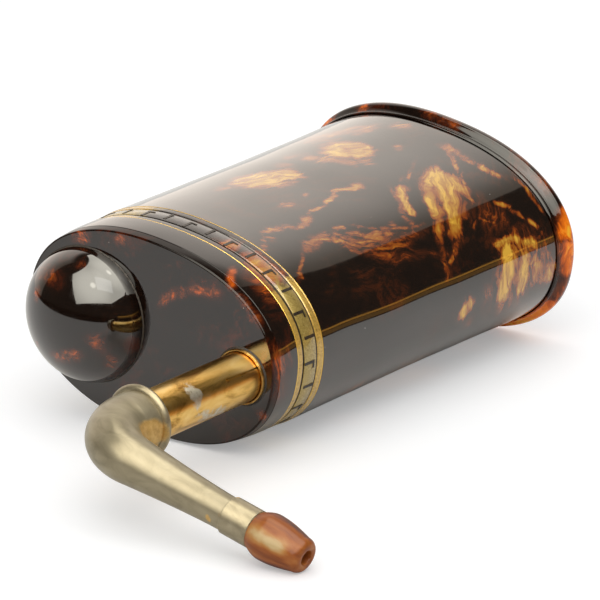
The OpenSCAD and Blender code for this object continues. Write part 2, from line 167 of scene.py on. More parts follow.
def make_piece(name, points, faces, place, body, material, nodes, sharp):
    """A mesh in place of nodes that rides on body, from points in millimetres of the frame place."""
    mesh = bpy.data.meshes.new(name)
    mesh.from_pydata([place @ (Vector(p) * MM) for p in points], [], faces)
    shell = bmesh.new()
    shell.from_mesh(mesh)
    bmesh.ops.recalc_face_normals(shell, faces=shell.faces)
    shell.to_mesh(mesh)
    shell.free()
    smooth(mesh, sharp)
    mesh.materials.append(material)
    piece = add_object(name, mesh)
    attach(piece, body)
    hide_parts(*nodes)


def ring_piece(name, rings, place, body, material, nodes, sharp=40):
    """A piece whose skin runs through rings of equally many points and closes on itself."""
    faces = ring_faces(len(rings), len(rings[0]), True)
    make_piece(name, np.concatenate(rings), faces, place, body, material, nodes, sharp)


# Materials

def node(tree, kind, inputs=None, **settings):
    """A shader node with its settings, and with its inputs set or linked."""
    made = tree.nodes.new("ShaderNode" + kind)
    for key, value in settings.items():
        setattr(made, key, value)
    for key, value in (inputs or {}).items():
        socket = made.inputs[key]
        if isinstance(value, bpy.types.NodeSocket):
            tree.links.new(value, socket)
        else:
            socket.default_value = (*value, 1.0) if socket.type == "RGBA" else value
    return made


def parts(tree, vector):
    """The x, y and z of a position."""
    return node(tree, "SeparateXYZ", {0: vector}).outputs


def calc(tree, operation, a, b=0.0, clamp=False):
    return node(tree, "Math", {0: a, 1: b}, operation=operation, use_clamp=clamp).outputs[0]


def times(tree, vector, factors):
    return node(tree, "VectorMath", {0: vector, 1: factors}, operation="MULTIPLY").outputs[0]


def plus(tree, vector, other):
    return node(tree, "VectorMath", {0: vector, 1: other}, operation="ADD").outputs[0]


def noise_at(tree, vector, scale, detail, roughness=0.5, distortion=0.0, output="Fac"):
    inputs = {"Vector": vector, "Scale": scale, "Detail": detail, "Roughness": roughness,
              "Distortion": distortion}
    return node(tree, "TexNoise", inputs).outputs[output]


def centred(tree, value, factor):
    """A noise value moved round zero and scaled."""
    return calc(tree, "MULTIPLY", calc(tree, "SUBTRACT", value, 0.5), factor)


def warped(tree, vector, scale, reach):
    """Positions that drift by a slow noise, up to about half of reach."""
    drift = noise_at(tree, vector, scale, 2.0, output="Color")
    return plus(tree, vector, times(tree, plus(tree, drift, (-0.5,) * 3), (reach,) * 3))


def step(tree, value, low, high, out_low=0.0, out_high=1.0):
    """A soft step from out_low to out_high while the value goes from low to high."""
    inputs = {"Value": value, "From Min": low, "From Max": high, "To Min": out_low, "To Max": out_high}
    return node(tree, "MapRange", inputs, interpolation_type="SMOOTHSTEP", clamp=False).outputs["Result"]


def blended(tree, factor, a, b):
    """Blend of two values."""
    return node(tree, "Mix", {0: factor, 2: a, 3: b}, data_type="FLOAT").outputs[0]


def mapped(tree, vector, way, scale, middle=(0, 0, 0)):
    """Positions seen from a middle in a frame whose x follows a way, divided by scale."""
    turn = Vector(way).to_track_quat("X", "Z").to_euler()
    inputs = {"Vector": vector, "Location": middle, "Rotation": turn, "Scale": scale}
    return node(tree, "Mapping", inputs, vector_type="TEXTURE").outputs[0]


def ramp(tree, value, stops):
    """Colour ramp of (place, colour) stops in linear light."""
    made = node(tree, "ValToRGB", {"Fac": value})
    elements = made.color_ramp.elements
    while len(elements) < len(stops):
        elements.new(0.5)
    for element, (place, colour) in zip(elements, stops):
        element.position = place
        element.color = (*colour, 1.0)
    return made.outputs["Color"]


def mixed(tree, factor, a, b):
    """Blend of two colours, each a tuple or a socket."""
    return node(tree, "Mix", {0: factor, 6: a, 7: b}, data_type="RGBA").outputs[2]


def new_material(name, **constants):
    """A material with one Principled shader, whose constants are set on its own sockets."""
    material = bpy.data.materials.new(name)
    material.use_nodes = True
    shader = material.node_tree.nodes["Principled BSDF"]
    for key, value in constants.items():
        shader.inputs[key.replace("_", " ")].default_value = value
    return material, material.node_tree, shader


def frame_position(tree, place):
    """Position in the millimetres of a frame, from the object's own coordinates."""
    back = place.inverted()
    inputs = {
        "Vector": node(tree, "TexCoord").outputs["Object"],
        "Scale": (1 / MM,) * 3,
        "Rotation": back.to_euler("XYZ"),
        "Location": back.to_translation() / MM,
    }
    return node(tree, "Mapping", inputs, vector_type="POINT").outputs[0]


SOFT_END, SOFT_SIDE = 1.3, 2.7  # how far a stroke reaches, in half widths


def along(tree, vector, strokes):
    """Greatest strength of soft strokes at a position.

    A stroke is its strength and its points, each with a half width. Each two points that follow
    each other make one soft ellipsoid.
    """
    best = None
    for strength, *points in strokes:
        stroke = None
        for first, second in zip(points[:-1], points[1:]):
            start, end = Vector(first[:3]), Vector(second[:3])
            way, width = end - start, (first[3] + second[3]) / 2
            half = way.length / 2
            scale = (half + max(SOFT_END * width, half), SOFT_SIDE * width, SOFT_SIDE * width)
            local = mapped(tree, vector, way, scale, (start + end) / 2)
            near = node(tree, "TexGradient", {"Vector": local}, gradient_type="SPHERICAL").outputs["Fac"]
            mark = step(tree, near, 0.0, 0.9, 0.0, strength)
            stroke = mark if stroke is None else calc(tree, "ADD", stroke, mark)
        stroke = calc(tree, "MINIMUM", stroke, strength)
        best = stroke if best is None else calc(tree, "MAXIMUM", best, stroke)
    return best


def bump(tree, shader, height, strength, distance):
    made = node(tree, "Bump", {"Height": height, "Strength": strength, "Distance": distance})
    tree.links.new(made.outputs[0], shader.inputs["Normal"])


# Colours of celluloid, from its dark ground to the heart of a flame
TORTOISESHELL = [
    (0.00, (0.0050, 0.0028, 0.0020)),
    (0.12, (0.0130, 0.0048, 0.0024)),
    (0.26, (0.0560, 0.0120, 0.0030)),
    (0.42, (0.2100, 0.0390, 0.0050)),
    (0.58, (0.3700, 0.1050, 0.0090)),
    (0.78, (0.5000, 0.2350, 0.0260)),
    (1.00, (0.7800, 0.4400, 0.0500)),
]
# Redder celluloid for the cap, plate, dome and rim. Its bright orange top stops serve the rim's strongest
# strokes, partly the celluloid's own amber and partly painted light glowing through the flange.
RED_SHELL = [
    (0.00, (0.0055, 0.0030, 0.0020)),
    (0.12, (0.0130, 0.0050, 0.0026)),
    (0.25, (0.0560, 0.0100, 0.0030)),
    (0.40, (0.1600, 0.0330, 0.0060)),
    (0.56, (0.5400, 0.0900, 0.0060)),
    (0.76, (0.9000, 0.2100, 0.0100)),
    (1.00, (0.9200, 0.4400, 0.0350)),
]
# Flames are strokes. The first ones show in the main view.
SHELL_FLAMES = [
    (0.8, (15.1, 116.4, 28, 1.7), (18.7, 108.3, 27.3, 2), (25.2, 101.3, 25.5, 2), (30.8, 96.6, 23.3, 1.4),
     (37.3, 89.6, 19.3, 0.8)),
    (0.86, (16.2, 115.2, 27.9, 3.1), (21.1, 111.6, 26.8, 3.3), (26.5, 108, 25.1, 3.1),
     (30.9, 103.4, 23.3, 2.2), (38.2, 96.8, 18.5, 1.3)),
    (0.82, (19.3, 114.7, 27.2, 3), (23.8, 114.6, 26.1, 2.6), (27.5, 114, 24.8, 1.8)),
    (0.43, (27.5, 114, 24.8, 0.8), (29.7, 114.9, 23.9, 0.7), (32.1, 115.4, 22.8, 0.5)),
    (0.38, (28.2, 110.9, 24.5, 2.2), (31.9, 108.3, 22.8, 2), (34.9, 105.2, 21, 1.4)),
    (0.31, (37.3, 89.6, 19.3, 1), (41.3, 87.1, 15.4, 1), (44.1, 85.9, 11.3, 0.8)),
    (0.38, (38.2, 96.8, 18.5, 0.7), (41.1, 92.6, 15.7, 0.6), (42.5, 87.5, 13.9, 0.5)),
    (0.84, (17.9, 98.8, 27.5, 1.1), (17.3, 95, 27.6, 1.1), (21.6, 90.6, 26.6, 1.3), (25.1, 88.9, 25.6, 1.2),
     (27.1, 89.2, 24.9, 0.9)),
    (0.38, (14, 95.4, 28.1, 0.6), (20.2, 89.2, 27, 0.7), (26.7, 84.7, 25, 0.8), (30.2, 84.7, 23.5, 0.6)),
    (0.33, (14.8, 98.9, 28, 0.7), (13.4, 105.6, 28.2, 0.6), (6.3, 117.1, 28.9, 0.5)),
    (0.38, (-1.9, 118.1, 29.1, 1.3), (0.9, 118.3, 29.1, 1.3)),
    (0.43, (26.8, 76.5, 25, 1.1), (28.7, 78.4, 24.2, 1.1)),
    (0.43, (6.1, 130.5, 29.1, 1.4), (9.4, 130.4, 28.9, 1.2), (15.4, 125.5, 28.1, 1), (21, 120.9, 26.9, 0.7),
     (26, 118.2, 25.4, 0.5)),
    (0.48, (5.8, 131.7, 29.1, 1.7), (12, 131.3, 28.6, 1.6), (18.2, 130.9, 27.7, 1.4),
     (22.6, 131.9, 26.6, 1.1), (28.3, 134.3, 24.8, 0.9)),
    (0.45, (29, 137.9, 24.6, 0.7), (32.6, 138.4, 22.9, 0.7), (37.5, 138.9, 19.8, 0.6),
     (42.3, 139.9, 15.2, 0.5)),
    (0.36, (-13.2, 135.4, 28.6, 2.1), (-8.4, 133, 29, 2.1)),
    (0.53, (33.7, 122.2, 22, 0.7), (35, 125, 21.3, 0.8), (35.7, 127.4, 20.9, 0.6)),
    (0.45, (36.1, 125.8, 20.5, 0.6), (38, 127.9, 19.2, 0.6), (39.8, 129.3, 17.7, 0.5)),
    (0.55, (40.9, 131.1, 16.6, 0.7), (42.2, 132.5, 15.1, 0.7), (43.7, 134.2, 13.1, 0.6),
     (44.8, 135.3, 11.3, 0.5)),
    (0.43, (35.5, 110.4, 20.8, 0.5), (37, 113.6, 19.7, 0.5), (39.1, 117.3, 18.1, 0.5)),
    (0.29, (32.7, 110.9, 22.4, 1.2), (36.1, 109.5, 20.3, 1.1), (37.9, 106.6, 18.9, 0.8)),
    (0.24, (32, 111.9, 22.8, 4.5), (36, 115.6, 20.5, 4.2), (39.2, 121.9, 18, 3)),
    (0.78, (43.1, 111.6, 13.5, 0.9), (42.7, 115.6, 14.1, 1), (42.6, 120.2, 14.4, 1),
     (43.5, 123.3, 13.2, 0.7)),
    (0.92, (42.8, 117.7, 14, 1.9), (44.9, 117.5, 10.7, 2.2), (46.4, 115.2, 6.3, 2.6), (47, 113.6, 1.9, 2.5),
     (46.9, 113.5, -3.2, 1.8)),
    (0.76, (44.3, 123.6, 12, 1), (44.3, 126.5, 11.9, 1.1), (45.2, 129.7, 10.4, 1.1),
     (46.1, 131.2, 8.3, 0.9)),
    (0.74, (45.5, 123.2, 9.3, 2.2), (46.9, 123.9, 4.5, 2.2), (47.2, 123.1, -0.3, 1.9),
     (47.1, 123.3, -3.1, 1.3)),
    (0.43, (46.3, 129.2, 7.5, 1.7), (47.3, 129.9, 2.1, 1.6), (47.1, 129.2, -3.4, 1.3)),
    (0.74, (47.3, 138.3, 3, 1.8), (47.4, 137.5, -0.4, 1.9), (47.2, 136.4, -4, 1.5)),
    (0.3, (44.7, 115.9, 11, 6.9), (46.7, 121.7, 5.5, 7.2), (47, 123.7, -4.2, 6.1)),
    (0.29, (45.5, 129.9, 9.8, 3.7), (47.1, 134.8, 4.4, 4.4), (47, 135.1, -5.1, 4.1)),
    (0.4, (46.9, 113.1, -3.1, 1.6), (45.8, 115.1, -8.3, 1.6)),
    (0.7, (46.7, 96.6, 2.4, 2), (46.8, 94.7, -0.8, 1.9), (46.6, 92.1, -2.9, 1.4)),
    (0.31, (46.7, 106.5, 4.2, 1.6), (46.9, 105.1, -0.9, 1.6)),
    (0.34, (46.6, 98.3, -4.2, 1.4), (45.7, 99, -7.9, 1.4)),
    (0.3, (33.2, 64.2, 22, 1.8), (33.7, 74.3, 21.7, 1.6), (32.9, 88.2, 22.2, 1.1)),
    (0.22, (35.7, 65.3, 20.3, 1.2), (36.5, 71.5, 19.8, 1.3), (38.3, 79.3, 18.3, 1.4), (39.8, 86.2, 17, 1.2)),
    (0.45, (28, 69.4, 24.6, 0.8), (29, 75.9, 24.1, 0.8), (30.6, 81.7, 23.3, 0.6), (31, 90.5, 23.2, 0.5)),
    (0.82, (-14.2, 101.7, 28.1, 4.5), (-11.5, 105.6, 28.4, 4.8), (-7.6, 107, 28.8, 4),
     (-5, 109.1, 28.9, 2.4)),
    (0.55, (-5.6, 104.3, 28.9, 2.2), (0.2, 99.9, 29, 2.2)),
    (0.45, (-0.8, 98.5, 29, 2), (-5.5, 97.3, 28.9, 2.1), (-9.6, 92.7, 28.6, 2.5), (-14.9, 89.8, 28, 2.2)),
    (0.4, (-14.9, 89.8, 28, 3.2), (-20.9, 89.2, 26.8, 3.2)),
    (0.34, (-4.8, 109.4, 28.9, 0.8), (-2.1, 113.4, 29, 0.8)),
    (0.76, (-15.2, 55.2, 28.3, 2.8), (-13.6, 61, 28.5, 3.6), (-11.9, 66, 28.6, 4.4),
     (-10.2, 71.9, 28.7, 3.6), (-9.6, 77.7, 28.7, 2.2)),
    (0.38, (-15.8, 46.8, 28.4, 1.4), (-15.2, 55.2, 28.3, 1.4)),
    (0.38, (-16.1, 77.2, 27.9, 2.8), (-13.2, 81.3, 28.3, 2.8)),
    (0.4, (-25.3, 104.2, 25.5, 2.3), (-21.8, 109.6, 26.6, 2.1), (-18, 113.3, 27.5, 1.5)),
    (0.4, (-18.9, 118.7, 27.4, 2.1), (-16.6, 122.4, 27.9, 2.1), (-17.6, 130.8, 27.8, 1.7)),
    (0.58, (9.2, 86.5, 28.7, 1.1), (9.7, 82.2, 28.7, 1), (8.1, 78.8, 28.8, 0.9), (7.5, 74.9, 28.9, 0.8),
     (10, 69.9, 28.8, 0.8), (11, 65.1, 28.7, 0.6)),
    (0.41, (11, 65.1, 28.7, 0.5), (11.3, 59.6, 28.8, 0.5), (12.2, 55.2, 28.8, 0.5)),
    (0.58, (13.2, 54.5, 28.7, 1.1), (15.2, 49.2, 28.4, 1.2), (15.7, 44.9, 28.5, 1)),
    (0.38, (15.7, 44.9, 28.5, 0.9), (13.3, 41.7, 28.9, 1), (12.6, 35.9, 29.2, 1), (13.8, 31.2, 29.1, 0.8),
     (19.1, 24, 28.3, 0.5)),
    (0.36, (14.7, 33.2, 28.9, 1.4), (17, 29.6, 28.6, 1.4)),
    (0.41, (4.9, 51.5, 29.4, 0.8), (5.7, 56.4, 29.3, 0.8)),
    (0.31, (3.4, 64.9, 29.2, 0.8), (4.2, 66.5, 29.2, 0.8)),
    (0.43, (33, 24.4, 22.6, 0.6), (29, 28.2, 24.8, 0.6), (25.3, 35.4, 26.1, 0.6)),
    (0.52, (24.4, 37.2, 26.4, 1.4), (22.5, 42.3, 26.9, 1.5), (22.2, 47.4, 26.9, 1.5), (22.4, 52.5, 26.8, 1)),
    (0.48, (25, 39.7, 26.1, 1.2), (24.2, 46.1, 26.3, 1.1), (23.9, 51.9, 26.3, 0.7)),
    (0.46, (23.9, 51.9, 26.3, 1.3), (26.3, 52.7, 25.4, 1.4), (29, 54.1, 24.3, 1.4), (31.8, 56.6, 22.9, 1)),
    (0.48, (22, 53.7, 26.8, 1), (25.4, 55.9, 25.7, 1.1), (28.6, 61.2, 24.4, 1.1), (28.7, 68.7, 24.3, 1.1),
     (29.4, 76.6, 23.9, 0.8)),
    (0.41, (27.9, 54.8, 24.8, 0.9), (30.3, 59.8, 23.6, 0.9), (30.1, 68.2, 23.6, 0.6)),
    (0.57, (21.5, 56.7, 26.9, 0.7), (21.2, 59.8, 27, 0.8), (22.9, 60.2, 26.5, 0.6)),
    (0.48, (24.9, 58.7, 25.9, 0.8), (25.9, 64.8, 25.4, 0.8)),
    (0.34, (22, 63.8, 26.7, 0.5), (24.9, 67.5, 25.8, 0.5), (27.4, 71.6, 24.8, 0.5)),
    (0.29, (32.3, 56.7, 22.6, 1.7), (32.6, 64.3, 22.4, 2), (33.6, 73.3, 21.8, 1.9)),
    (0.24, (34.9, 60.8, 20.9, 1.6), (35.5, 70.9, 20.5, 1.6)),
    (0.43, (26, 77.5, 25.3, 0.6), (28.4, 76.8, 24.4, 0.6)),
    (0.38, (-28, 109, 25, 3), (-21, 119, 27, 3), (-17, 130, 28, 2)),
    (0.53, (-40, 40, -3, 4), (-43, 62, 4, 4), (-38, 78, 15, 4)),
    (0.86, (-44, 92, 3, 5.4), (-42, 108, -10, 5.4), (-36, 120, -19, 5.4)),
    (0.72, (-41, 116, 13, 3.6), (-45, 126, 3, 3.6)),
    (0.43, (-34, 34, 20, 3), (-38, 52, 15, 3)),
    (0.84, (-20, 96, -28, 5.4), (-8, 112, -29, 5.4), (8, 118, -29, 5.4)),
    (0.7, (12, 44, -29, 4.4), (2, 58, -29, 4.4), (-10, 62, -29, 4.4)),
    (0.8, (24, 72, -27, 4.2), (31, 88, -23, 4.2), (30, 104, -24, 4.2)),
    (0.53, (-32, 60, -23, 3.6), (-24, 76, -27, 3.6)),
    (0.45, (36, 42, -18, 3.2), (41, 54, -12, 3.2)),
    (0.72, (18, 128, -28, 3.4), (32, 126, -23, 3.4)),
    (0.46, (-28, 130, -25, 3.2), (-14, 134, -28, 3.2)),
]
CAP_FLAMES = [
    (0.56, (20.5, 8, 27.6, 1), (23, 3, 26, 1), (26, 0, 24.6, 1)),
    (0.48, (23, 11, 27, 2.8), (33, 11, 22, 2.8)),
    (0.68, (19.5, 16, 28, 3.2), (25, 18, 26.4, 3.2), (30, 17, 24, 3.2)),
    (0.51, (11, 17, 29.5, 2.2), (14.5, 16.5, 29, 2.2)),
    (0.32, (2, 0, 11.5, 1.2), (6, 0, 15.4, 1.2), (12, 0, 19.6, 1.2), (17.4, 0, 20.8, 1.2),
     (23, 0, 22.3, 1.2)),
    (0.19, (12, 0, 21.4, 2.4), (24, 0, 22.3, 2.4)),
    (0.31, (27, 0, 24.7, 1.3), (33, 0, 21.6, 1.3), (38, 0, 17, 1.3)),
    (0.32, (-31, 0, 21, 1.4), (-26, 0, 22.5, 1.4)),
    (0.29, (-16.5, 0, 25.3, 1), (-13, 0, 26.7, 1)),
    (0.34, (43, 1, -8, 1.4), (41, 0, -10, 1.4)),
    (0.22, (42, 2, 12, 3), (45, 4, 4, 3), (45, 5, -6, 3)),
    (0.42, (-34, 6, -14, 3), (-40, 8, -6, 3)),
    (0.48, (-8, 5, -28, 3), (6, 8, -29, 3)),
]
DOME_FLAMES = [
    (0.42, (-34.5, -10.5, 6, 1.2), (-33.3, -12, 2.4, 1.2)),
    (0.24, (-38, -6, 10, 2), (-31.3, -10, 11, 2), (-25.3, -11, 11.5, 2)),
    (0.29, (-26, -11.5, -12.5, 1.5), (-22.3, -12, -11, 1.5), (-19, -12.3, -9.8, 1.5),
     (-15.8, -12.5, -6.6, 1.5)),
    (0.29, (-12.2, -11.8, -3, 1.8), (-10, -10.8, -0.6, 1.8)),
    (0.3, (-8.2, -8, -9, 1.4), (-6, -6.4, -7.8, 1.4)),
    (0.26, (-23.6, -6.8, 16.8, 1.2), (-20.9, -6.7, 16.8, 1.2)),
    (0.3, (-32.3, -10.4, -11, 1), (-31.5, -10.7, -11, 1)),
    (0.33, (-40, -4, 8, 2), (-42, -3, -4, 2)),
]
# The rim's flames. The strong orange strokes along its right edge and its bottom are partly the celluloid's
# amber and partly painted light, a glow as though light shone through the flange.
RIM_FLAMES_AND_GLOW = [
    (0.14, (10, 145, 31, 1.4), (24, 147, 29, 1.4), (33, 147, 26, 1.4)),
    (0.36, (33, 145, 26, 2.2), (39, 145, 21, 2.2)),
    (0.8, (43, 147, 18, 1.4), (46, 146, 14, 2.4), (48.5, 145, 9, 2.4)),
    (0.62, (48, 145, 9, 2.4), (49.5, 145, 3, 2.4), (50, 145, -3, 2.4)),
    (0.42, (50, 145, -3, 2.2), (47, 145, -12, 2.2)),
    (0.8, (47, 145, -12, 3.4), (39, 145, -20.6, 3.4), (28, 145, -26, 3.4), (14, 145, -30, 3.4)),
    (0.44, (-34, 144, 23, 1.8), (-30, 144, 25, 1.8)),
    (0.3, (-10, 145, 31, 1.2), (-1, 145, 31, 1.2), (4, 145, 31, 1.2)),
    (0.7, (-47, 145, -8, 3), (-40, 145, -20, 3)),
    (0.6, (-30, 145, -26, 2.6), (-16, 145, -30, 2.6)),
    (0.6, (-46, 145, 12, 2.4), (-42, 145, 18, 2.4)),
]


# How far flames drift, as scales of noise and reaches in millimetres
DRIFTS = ((0.06, 4.0), (0.2, 3.0), (0.9, 0.55))
# Ways of the threads on most of the body, on its top near the mouth and on its right side
THREAD_WAYS = ((0.32, 0.95, 0.0), (0.61, -0.75, -0.2), (0.1, -0.2, 1.0))
TOP_X, TOP_Y, RIGHT_X = (4.0, 14.0), (82.0, 94.0), (37.0, 44.0)  # where those two places softly begin
STREAK = (6.0, 1.0, 1.0)  # how far threads are drawn out
DUST = (0.5, 0.48, 0.44)
WORN_COAT = 0.08  # coat weight at the end plate's worn edge


def shell_colour(tree, place, flames, stops, ragged):
    """Near black with amber flames, drawn out into threads that fray into red."""
    near = place
    for scale, reach in DRIFTS:
        near = warped(tree, near, scale, reach * ragged)
    lit = along(tree, near, flames)
    swirl = warped(tree, warped(tree, place, 0.05, 12), 0.2, 2.5)
    x, y, _ = parts(tree, swirl)
    threads, across, down = (
        noise_at(tree, mapped(tree, swirl, way, STREAK), 0.55, 4.0, 0.6, 0.4) for way in THREAD_WAYS)
    turned = calc(tree, "MULTIPLY", step(tree, x, *TOP_X), step(tree, y, *TOP_Y))
    threads = blended(tree, turned, threads, across)
    threads = blended(tree, step(tree, x, *RIGHT_X), threads, down)
    clouds = noise_at(tree, swirl, 0.055, 3.0, 0.55, 0.6)
    uneven = centred(tree, threads, 0.9 * ragged)
    fray = calc(tree, "MULTIPLY", step(tree, lit, 0.02, 0.35), uneven)
    glow = calc(tree, "ADD", clouds, centred(tree, threads, 0.7))
    glow = step(tree, glow, 0.42, 0.80, 0.03, 0.26)
    lit = calc(tree, "MULTIPLY", lit, calc(tree, "ADD", 0.92, uneven))
    value = calc(tree, "ADD", lit, calc(tree, "MULTIPLY", fray, calc(tree, "SUBTRACT", 1.3, lit)))
    return ramp(tree, calc(tree, "ADD", calc(tree, "MAXIMUM", value, 0.0), glow, True), stops)


def dust(tree, place, colour):
    """A few pale specks on a surface."""
    cell = node(tree, "TexVoronoi", {"Vector": place, "Scale": 0.22})
    rare = step(tree, node(tree, "SeparateColor", {0: cell.outputs["Color"]}).outputs[0], 0.80, 0.82)
    speck = step(tree, cell.outputs["Distance"], 0.025, 0.035, 1.0, 0.0)
    return mixed(tree, calc(tree, "MULTIPLY", rare, speck), colour, DUST)


def worn_edge(tree, place):
    """One along the outer edge of the end plate, where the polish is worn off."""
    x, y, z = parts(tree, place)
    reach = None
    for across, half in zip((x, z), PLATE_HALF):
        part = calc(tree, "ABSOLUTE", calc(tree, "DIVIDE", across, half))
        part = calc(tree, "POWER", part, OVAL_POWER)
        reach = part if reach is None else calc(tree, "ADD", reach, part)
    end = step(tree, y, PLATE_THICKNESS + 0.2, PLATE_THICKNESS + 0.5, 1.0, 0.0)
    return calc(tree, "MULTIPLY", step(tree, reach, 0.965, 0.98), end)


def tortoiseshell(name, flames, stops, ragged=1.0, coat=1.0, coat_ior=1.5, under=0.45, worn=False):
    """Polished celluloid in imitation of tortoiseshell, with a specular level under its coat."""
    material, tree, shader = new_material(
        name, Specular_IOR_Level=under, Coat_Weight=coat, Coat_Roughness=0.02, Coat_IOR=coat_ior)
    place = frame_position(tree, BODY)
    colour = dust(tree, place, shell_colour(tree, place, flames, stops, ragged))
    tree.links.new(colour, shader.inputs["Base Color"])
    smears = noise_at(tree, times(tree, place, (1.0, 0.3, 1.0)), 0.35, 5.0, 0.7)
    tree.links.new(step(tree, smears, 0.35, 0.75, 0.05, 0.16), shader.inputs["Roughness"])
    if worn:
        shine = step(tree, worn_edge(tree, place), 0.0, 1.0, coat, WORN_COAT)
        tree.links.new(shine, shader.inputs["Coat Weight"])
    bump(tree, shader, noise_at(tree, place, 0.09, 2.0), 0.12, 0.0003)
    return material


def metal(name, stops, roughness, place, stains_and_reflections, stain_and_reflection_stops, streak=(1, 1, 1), raggedness=1.0,
          metallic=1.0):
    """Worn metal: a colour that drifts, a second colour where the strokes stand, for discoloured patches
    and, on the tube and the elbow, partly for painted reflections, and fine polishing marks.
    """
    material, tree, shader = new_material(name, Metallic=metallic)
    where = frame_position(tree, place)
    drift = noise_at(tree, times(tree, where, streak), 0.22, 5.0, 0.6, 0.8)
    colour = ramp(tree, drift, stops)
    frayed = noise_at(tree, where, 0.5, 6.0, 0.65)
    near = warped(tree, where, 0.35, 4.0 * raggedness)
    mark = calc(tree, "ADD", along(tree, near, stains_and_reflections), centred(tree, frayed, 1.2 * raggedness))
    stain_and_reflection = step(tree, mark, 0.32, 0.72)
    colour = mixed(tree, stain_and_reflection, colour, ramp(tree, frayed, stain_and_reflection_stops))
    tree.links.new(colour, shader.inputs["Base Color"])
    fine = noise_at(tree, times(tree, where, streak), 2.5, 4.0, 0.6)
    rough = calc(tree, "ADD", centred(tree, fine, 0.08), roughness)
    rough = calc(tree, "ADD", rough, calc(tree, "MULTIPLY", stain_and_reflection, 0.12), True)
    tree.links.new(rough, shader.inputs["Roughness"])
    bump(tree, shader, fine, 0.012, 0.0001)
    return material


# Where the band shows the shell's colour in place of gilt, which darkens its upper side: above these
# heights, and to the right of these x
BARE_HEIGHT, BARE_X = (22.0, 25.0), (-24.0, -15.0)
# Brighter gold along the wires' outer edges: partly the wire's own gold, partly a painted highlight.
GILT_EDGE_AND_HIGHLIGHT = (0.86, 0.55, 0.09)


def gilt_material(name, flames, edge_from, stops):
    """Gilt under varnish that gives way to the shell's colour on the upper side, but not along its outer
    edges, where a brighter gold is partly a painted highlight.
    """
    material, tree, shader = new_material(
        name, Specular_IOR_Level=0.45, Coat_Weight=1.0, Coat_Roughness=0.04, Coat_IOR=1.5)
    place = frame_position(tree, BODY)
    x, y, z = parts(tree, place)
    frayed = noise_at(tree, place, 0.5, 5.0, 0.65)
    # The mask worn only marks where the shell's colour takes the place of gilt, high up and to the right.
    high = step(tree, calc(tree, "ADD", z, centred(tree, frayed, 9.0)), *BARE_HEIGHT)
    right = step(tree, calc(tree, "ADD", x, centred(tree, frayed, 12.0)), *BARE_X)
    worn = calc(tree, "MULTIPLY", high, right)
    aside = calc(tree, "ABSOLUTE", calc(tree, "SUBTRACT", y, BAND_MIDDLE))
    # Along the wires' outer edges the gold is brighter, partly a painted highlight.
    edge = step(tree, aside, edge_from, edge_from + 0.12)
    worn = calc(tree, "MULTIPLY", worn, calc(tree, "SUBTRACT", 1.0, edge))
    grain = noise_at(tree, place, 1.4, 6.0, 0.7, 1.0)
    gilt = mixed(tree, edge, ramp(tree, grain, stops), GILT_EDGE_AND_HIGHLIGHT)
    under = shell_colour(tree, place, flames, TORTOISESHELL, 0.5)
    tree.links.new(mixed(tree, worn, gilt, under), shader.inputs["Base Color"])
    shine = calc(tree, "ADD", 0.35, calc(tree, "MULTIPLY", edge, 0.5))
    metallic = calc(tree, "MULTIPLY", calc(tree, "SUBTRACT", 1.0, worn), shine)
    tree.links.new(metallic, shader.inputs["Metallic"])
    tree.links.new(step(tree, grain, 0.3, 0.7, 0.5, 0.3), shader.inputs["Roughness"])
    bump(tree, shader, grain, 0.3, 0.0001)
    return material


HORN = [
    (0.15, (0.050, 0.008, 0.002)),
    (0.38, (0.170, 0.034, 0.004)),
    (0.55, (0.320, 0.090, 0.012)),
    (0.75, (0.440, 0.200, 0.050)),
    (0.95, (0.560, 0.400, 0.190)),
]


def horn_material():
    """Polished horn: honey brown with a long cream streak that is partly a painted highlight, a darker
    stroke underneath that is painted shade, and darker ends.
    """
    material, tree, shader = new_material(
        "horn", Roughness=0.5, Specular_IOR_Level=0.25, Coat_Weight=0.25, Coat_Roughness=0.06)
    where = frame_position(tree, LIMB)
    stretched = times(tree, warped(tree, where, 0.1, 4.0), (0.12, 0.8, 0.8))
    fibres = noise_at(tree, stretched, 0.35, 4.0, 0.5, 0.4)
    near = warped(tree, where, 0.3, 1.5)
    cream = calc(tree, "MULTIPLY", along(tree, near, HORN_CREAM_AND_HIGHLIGHT), 0.4)
    dark = calc(tree, "MULTIPLY", along(tree, near, HORN_DARK), 0.35)
    tone = calc(tree, "ADD", calc(tree, "ADD", 0.5, centred(tree, fibres, 0.7)), cream)
    tone = calc(tree, "SUBTRACT", tone, dark)
    tree.links.new(ramp(tree, tone, HORN), shader.inputs["Base Color"])
    bump(tree, shader, fibres, 0.12, 0.0002)
    return material


def matt_material(name, colour, roughness):
    """A matt surface with a little mottling."""
    material, tree, shader = new_material(name)
    mottle = noise_at(tree, frame_position(tree, BODY), 0.9, 5.0, 0.6)
    dark = tuple(0.55 * c for c in colour)
    light = tuple(min(1.0, 1.5 * c) for c in colour)
    tree.links.new(ramp(tree, mottle, [(0.3, dark), (0.7, light)]), shader.inputs["Base Color"])
    rough = step(tree, mottle, 0.3, 0.7, roughness + 0.1, roughness - 0.1)
    tree.links.new(rough, shader.inputs["Roughness"])
    bump(tree, shader, mottle, 0.3, 0.0002)
    return material


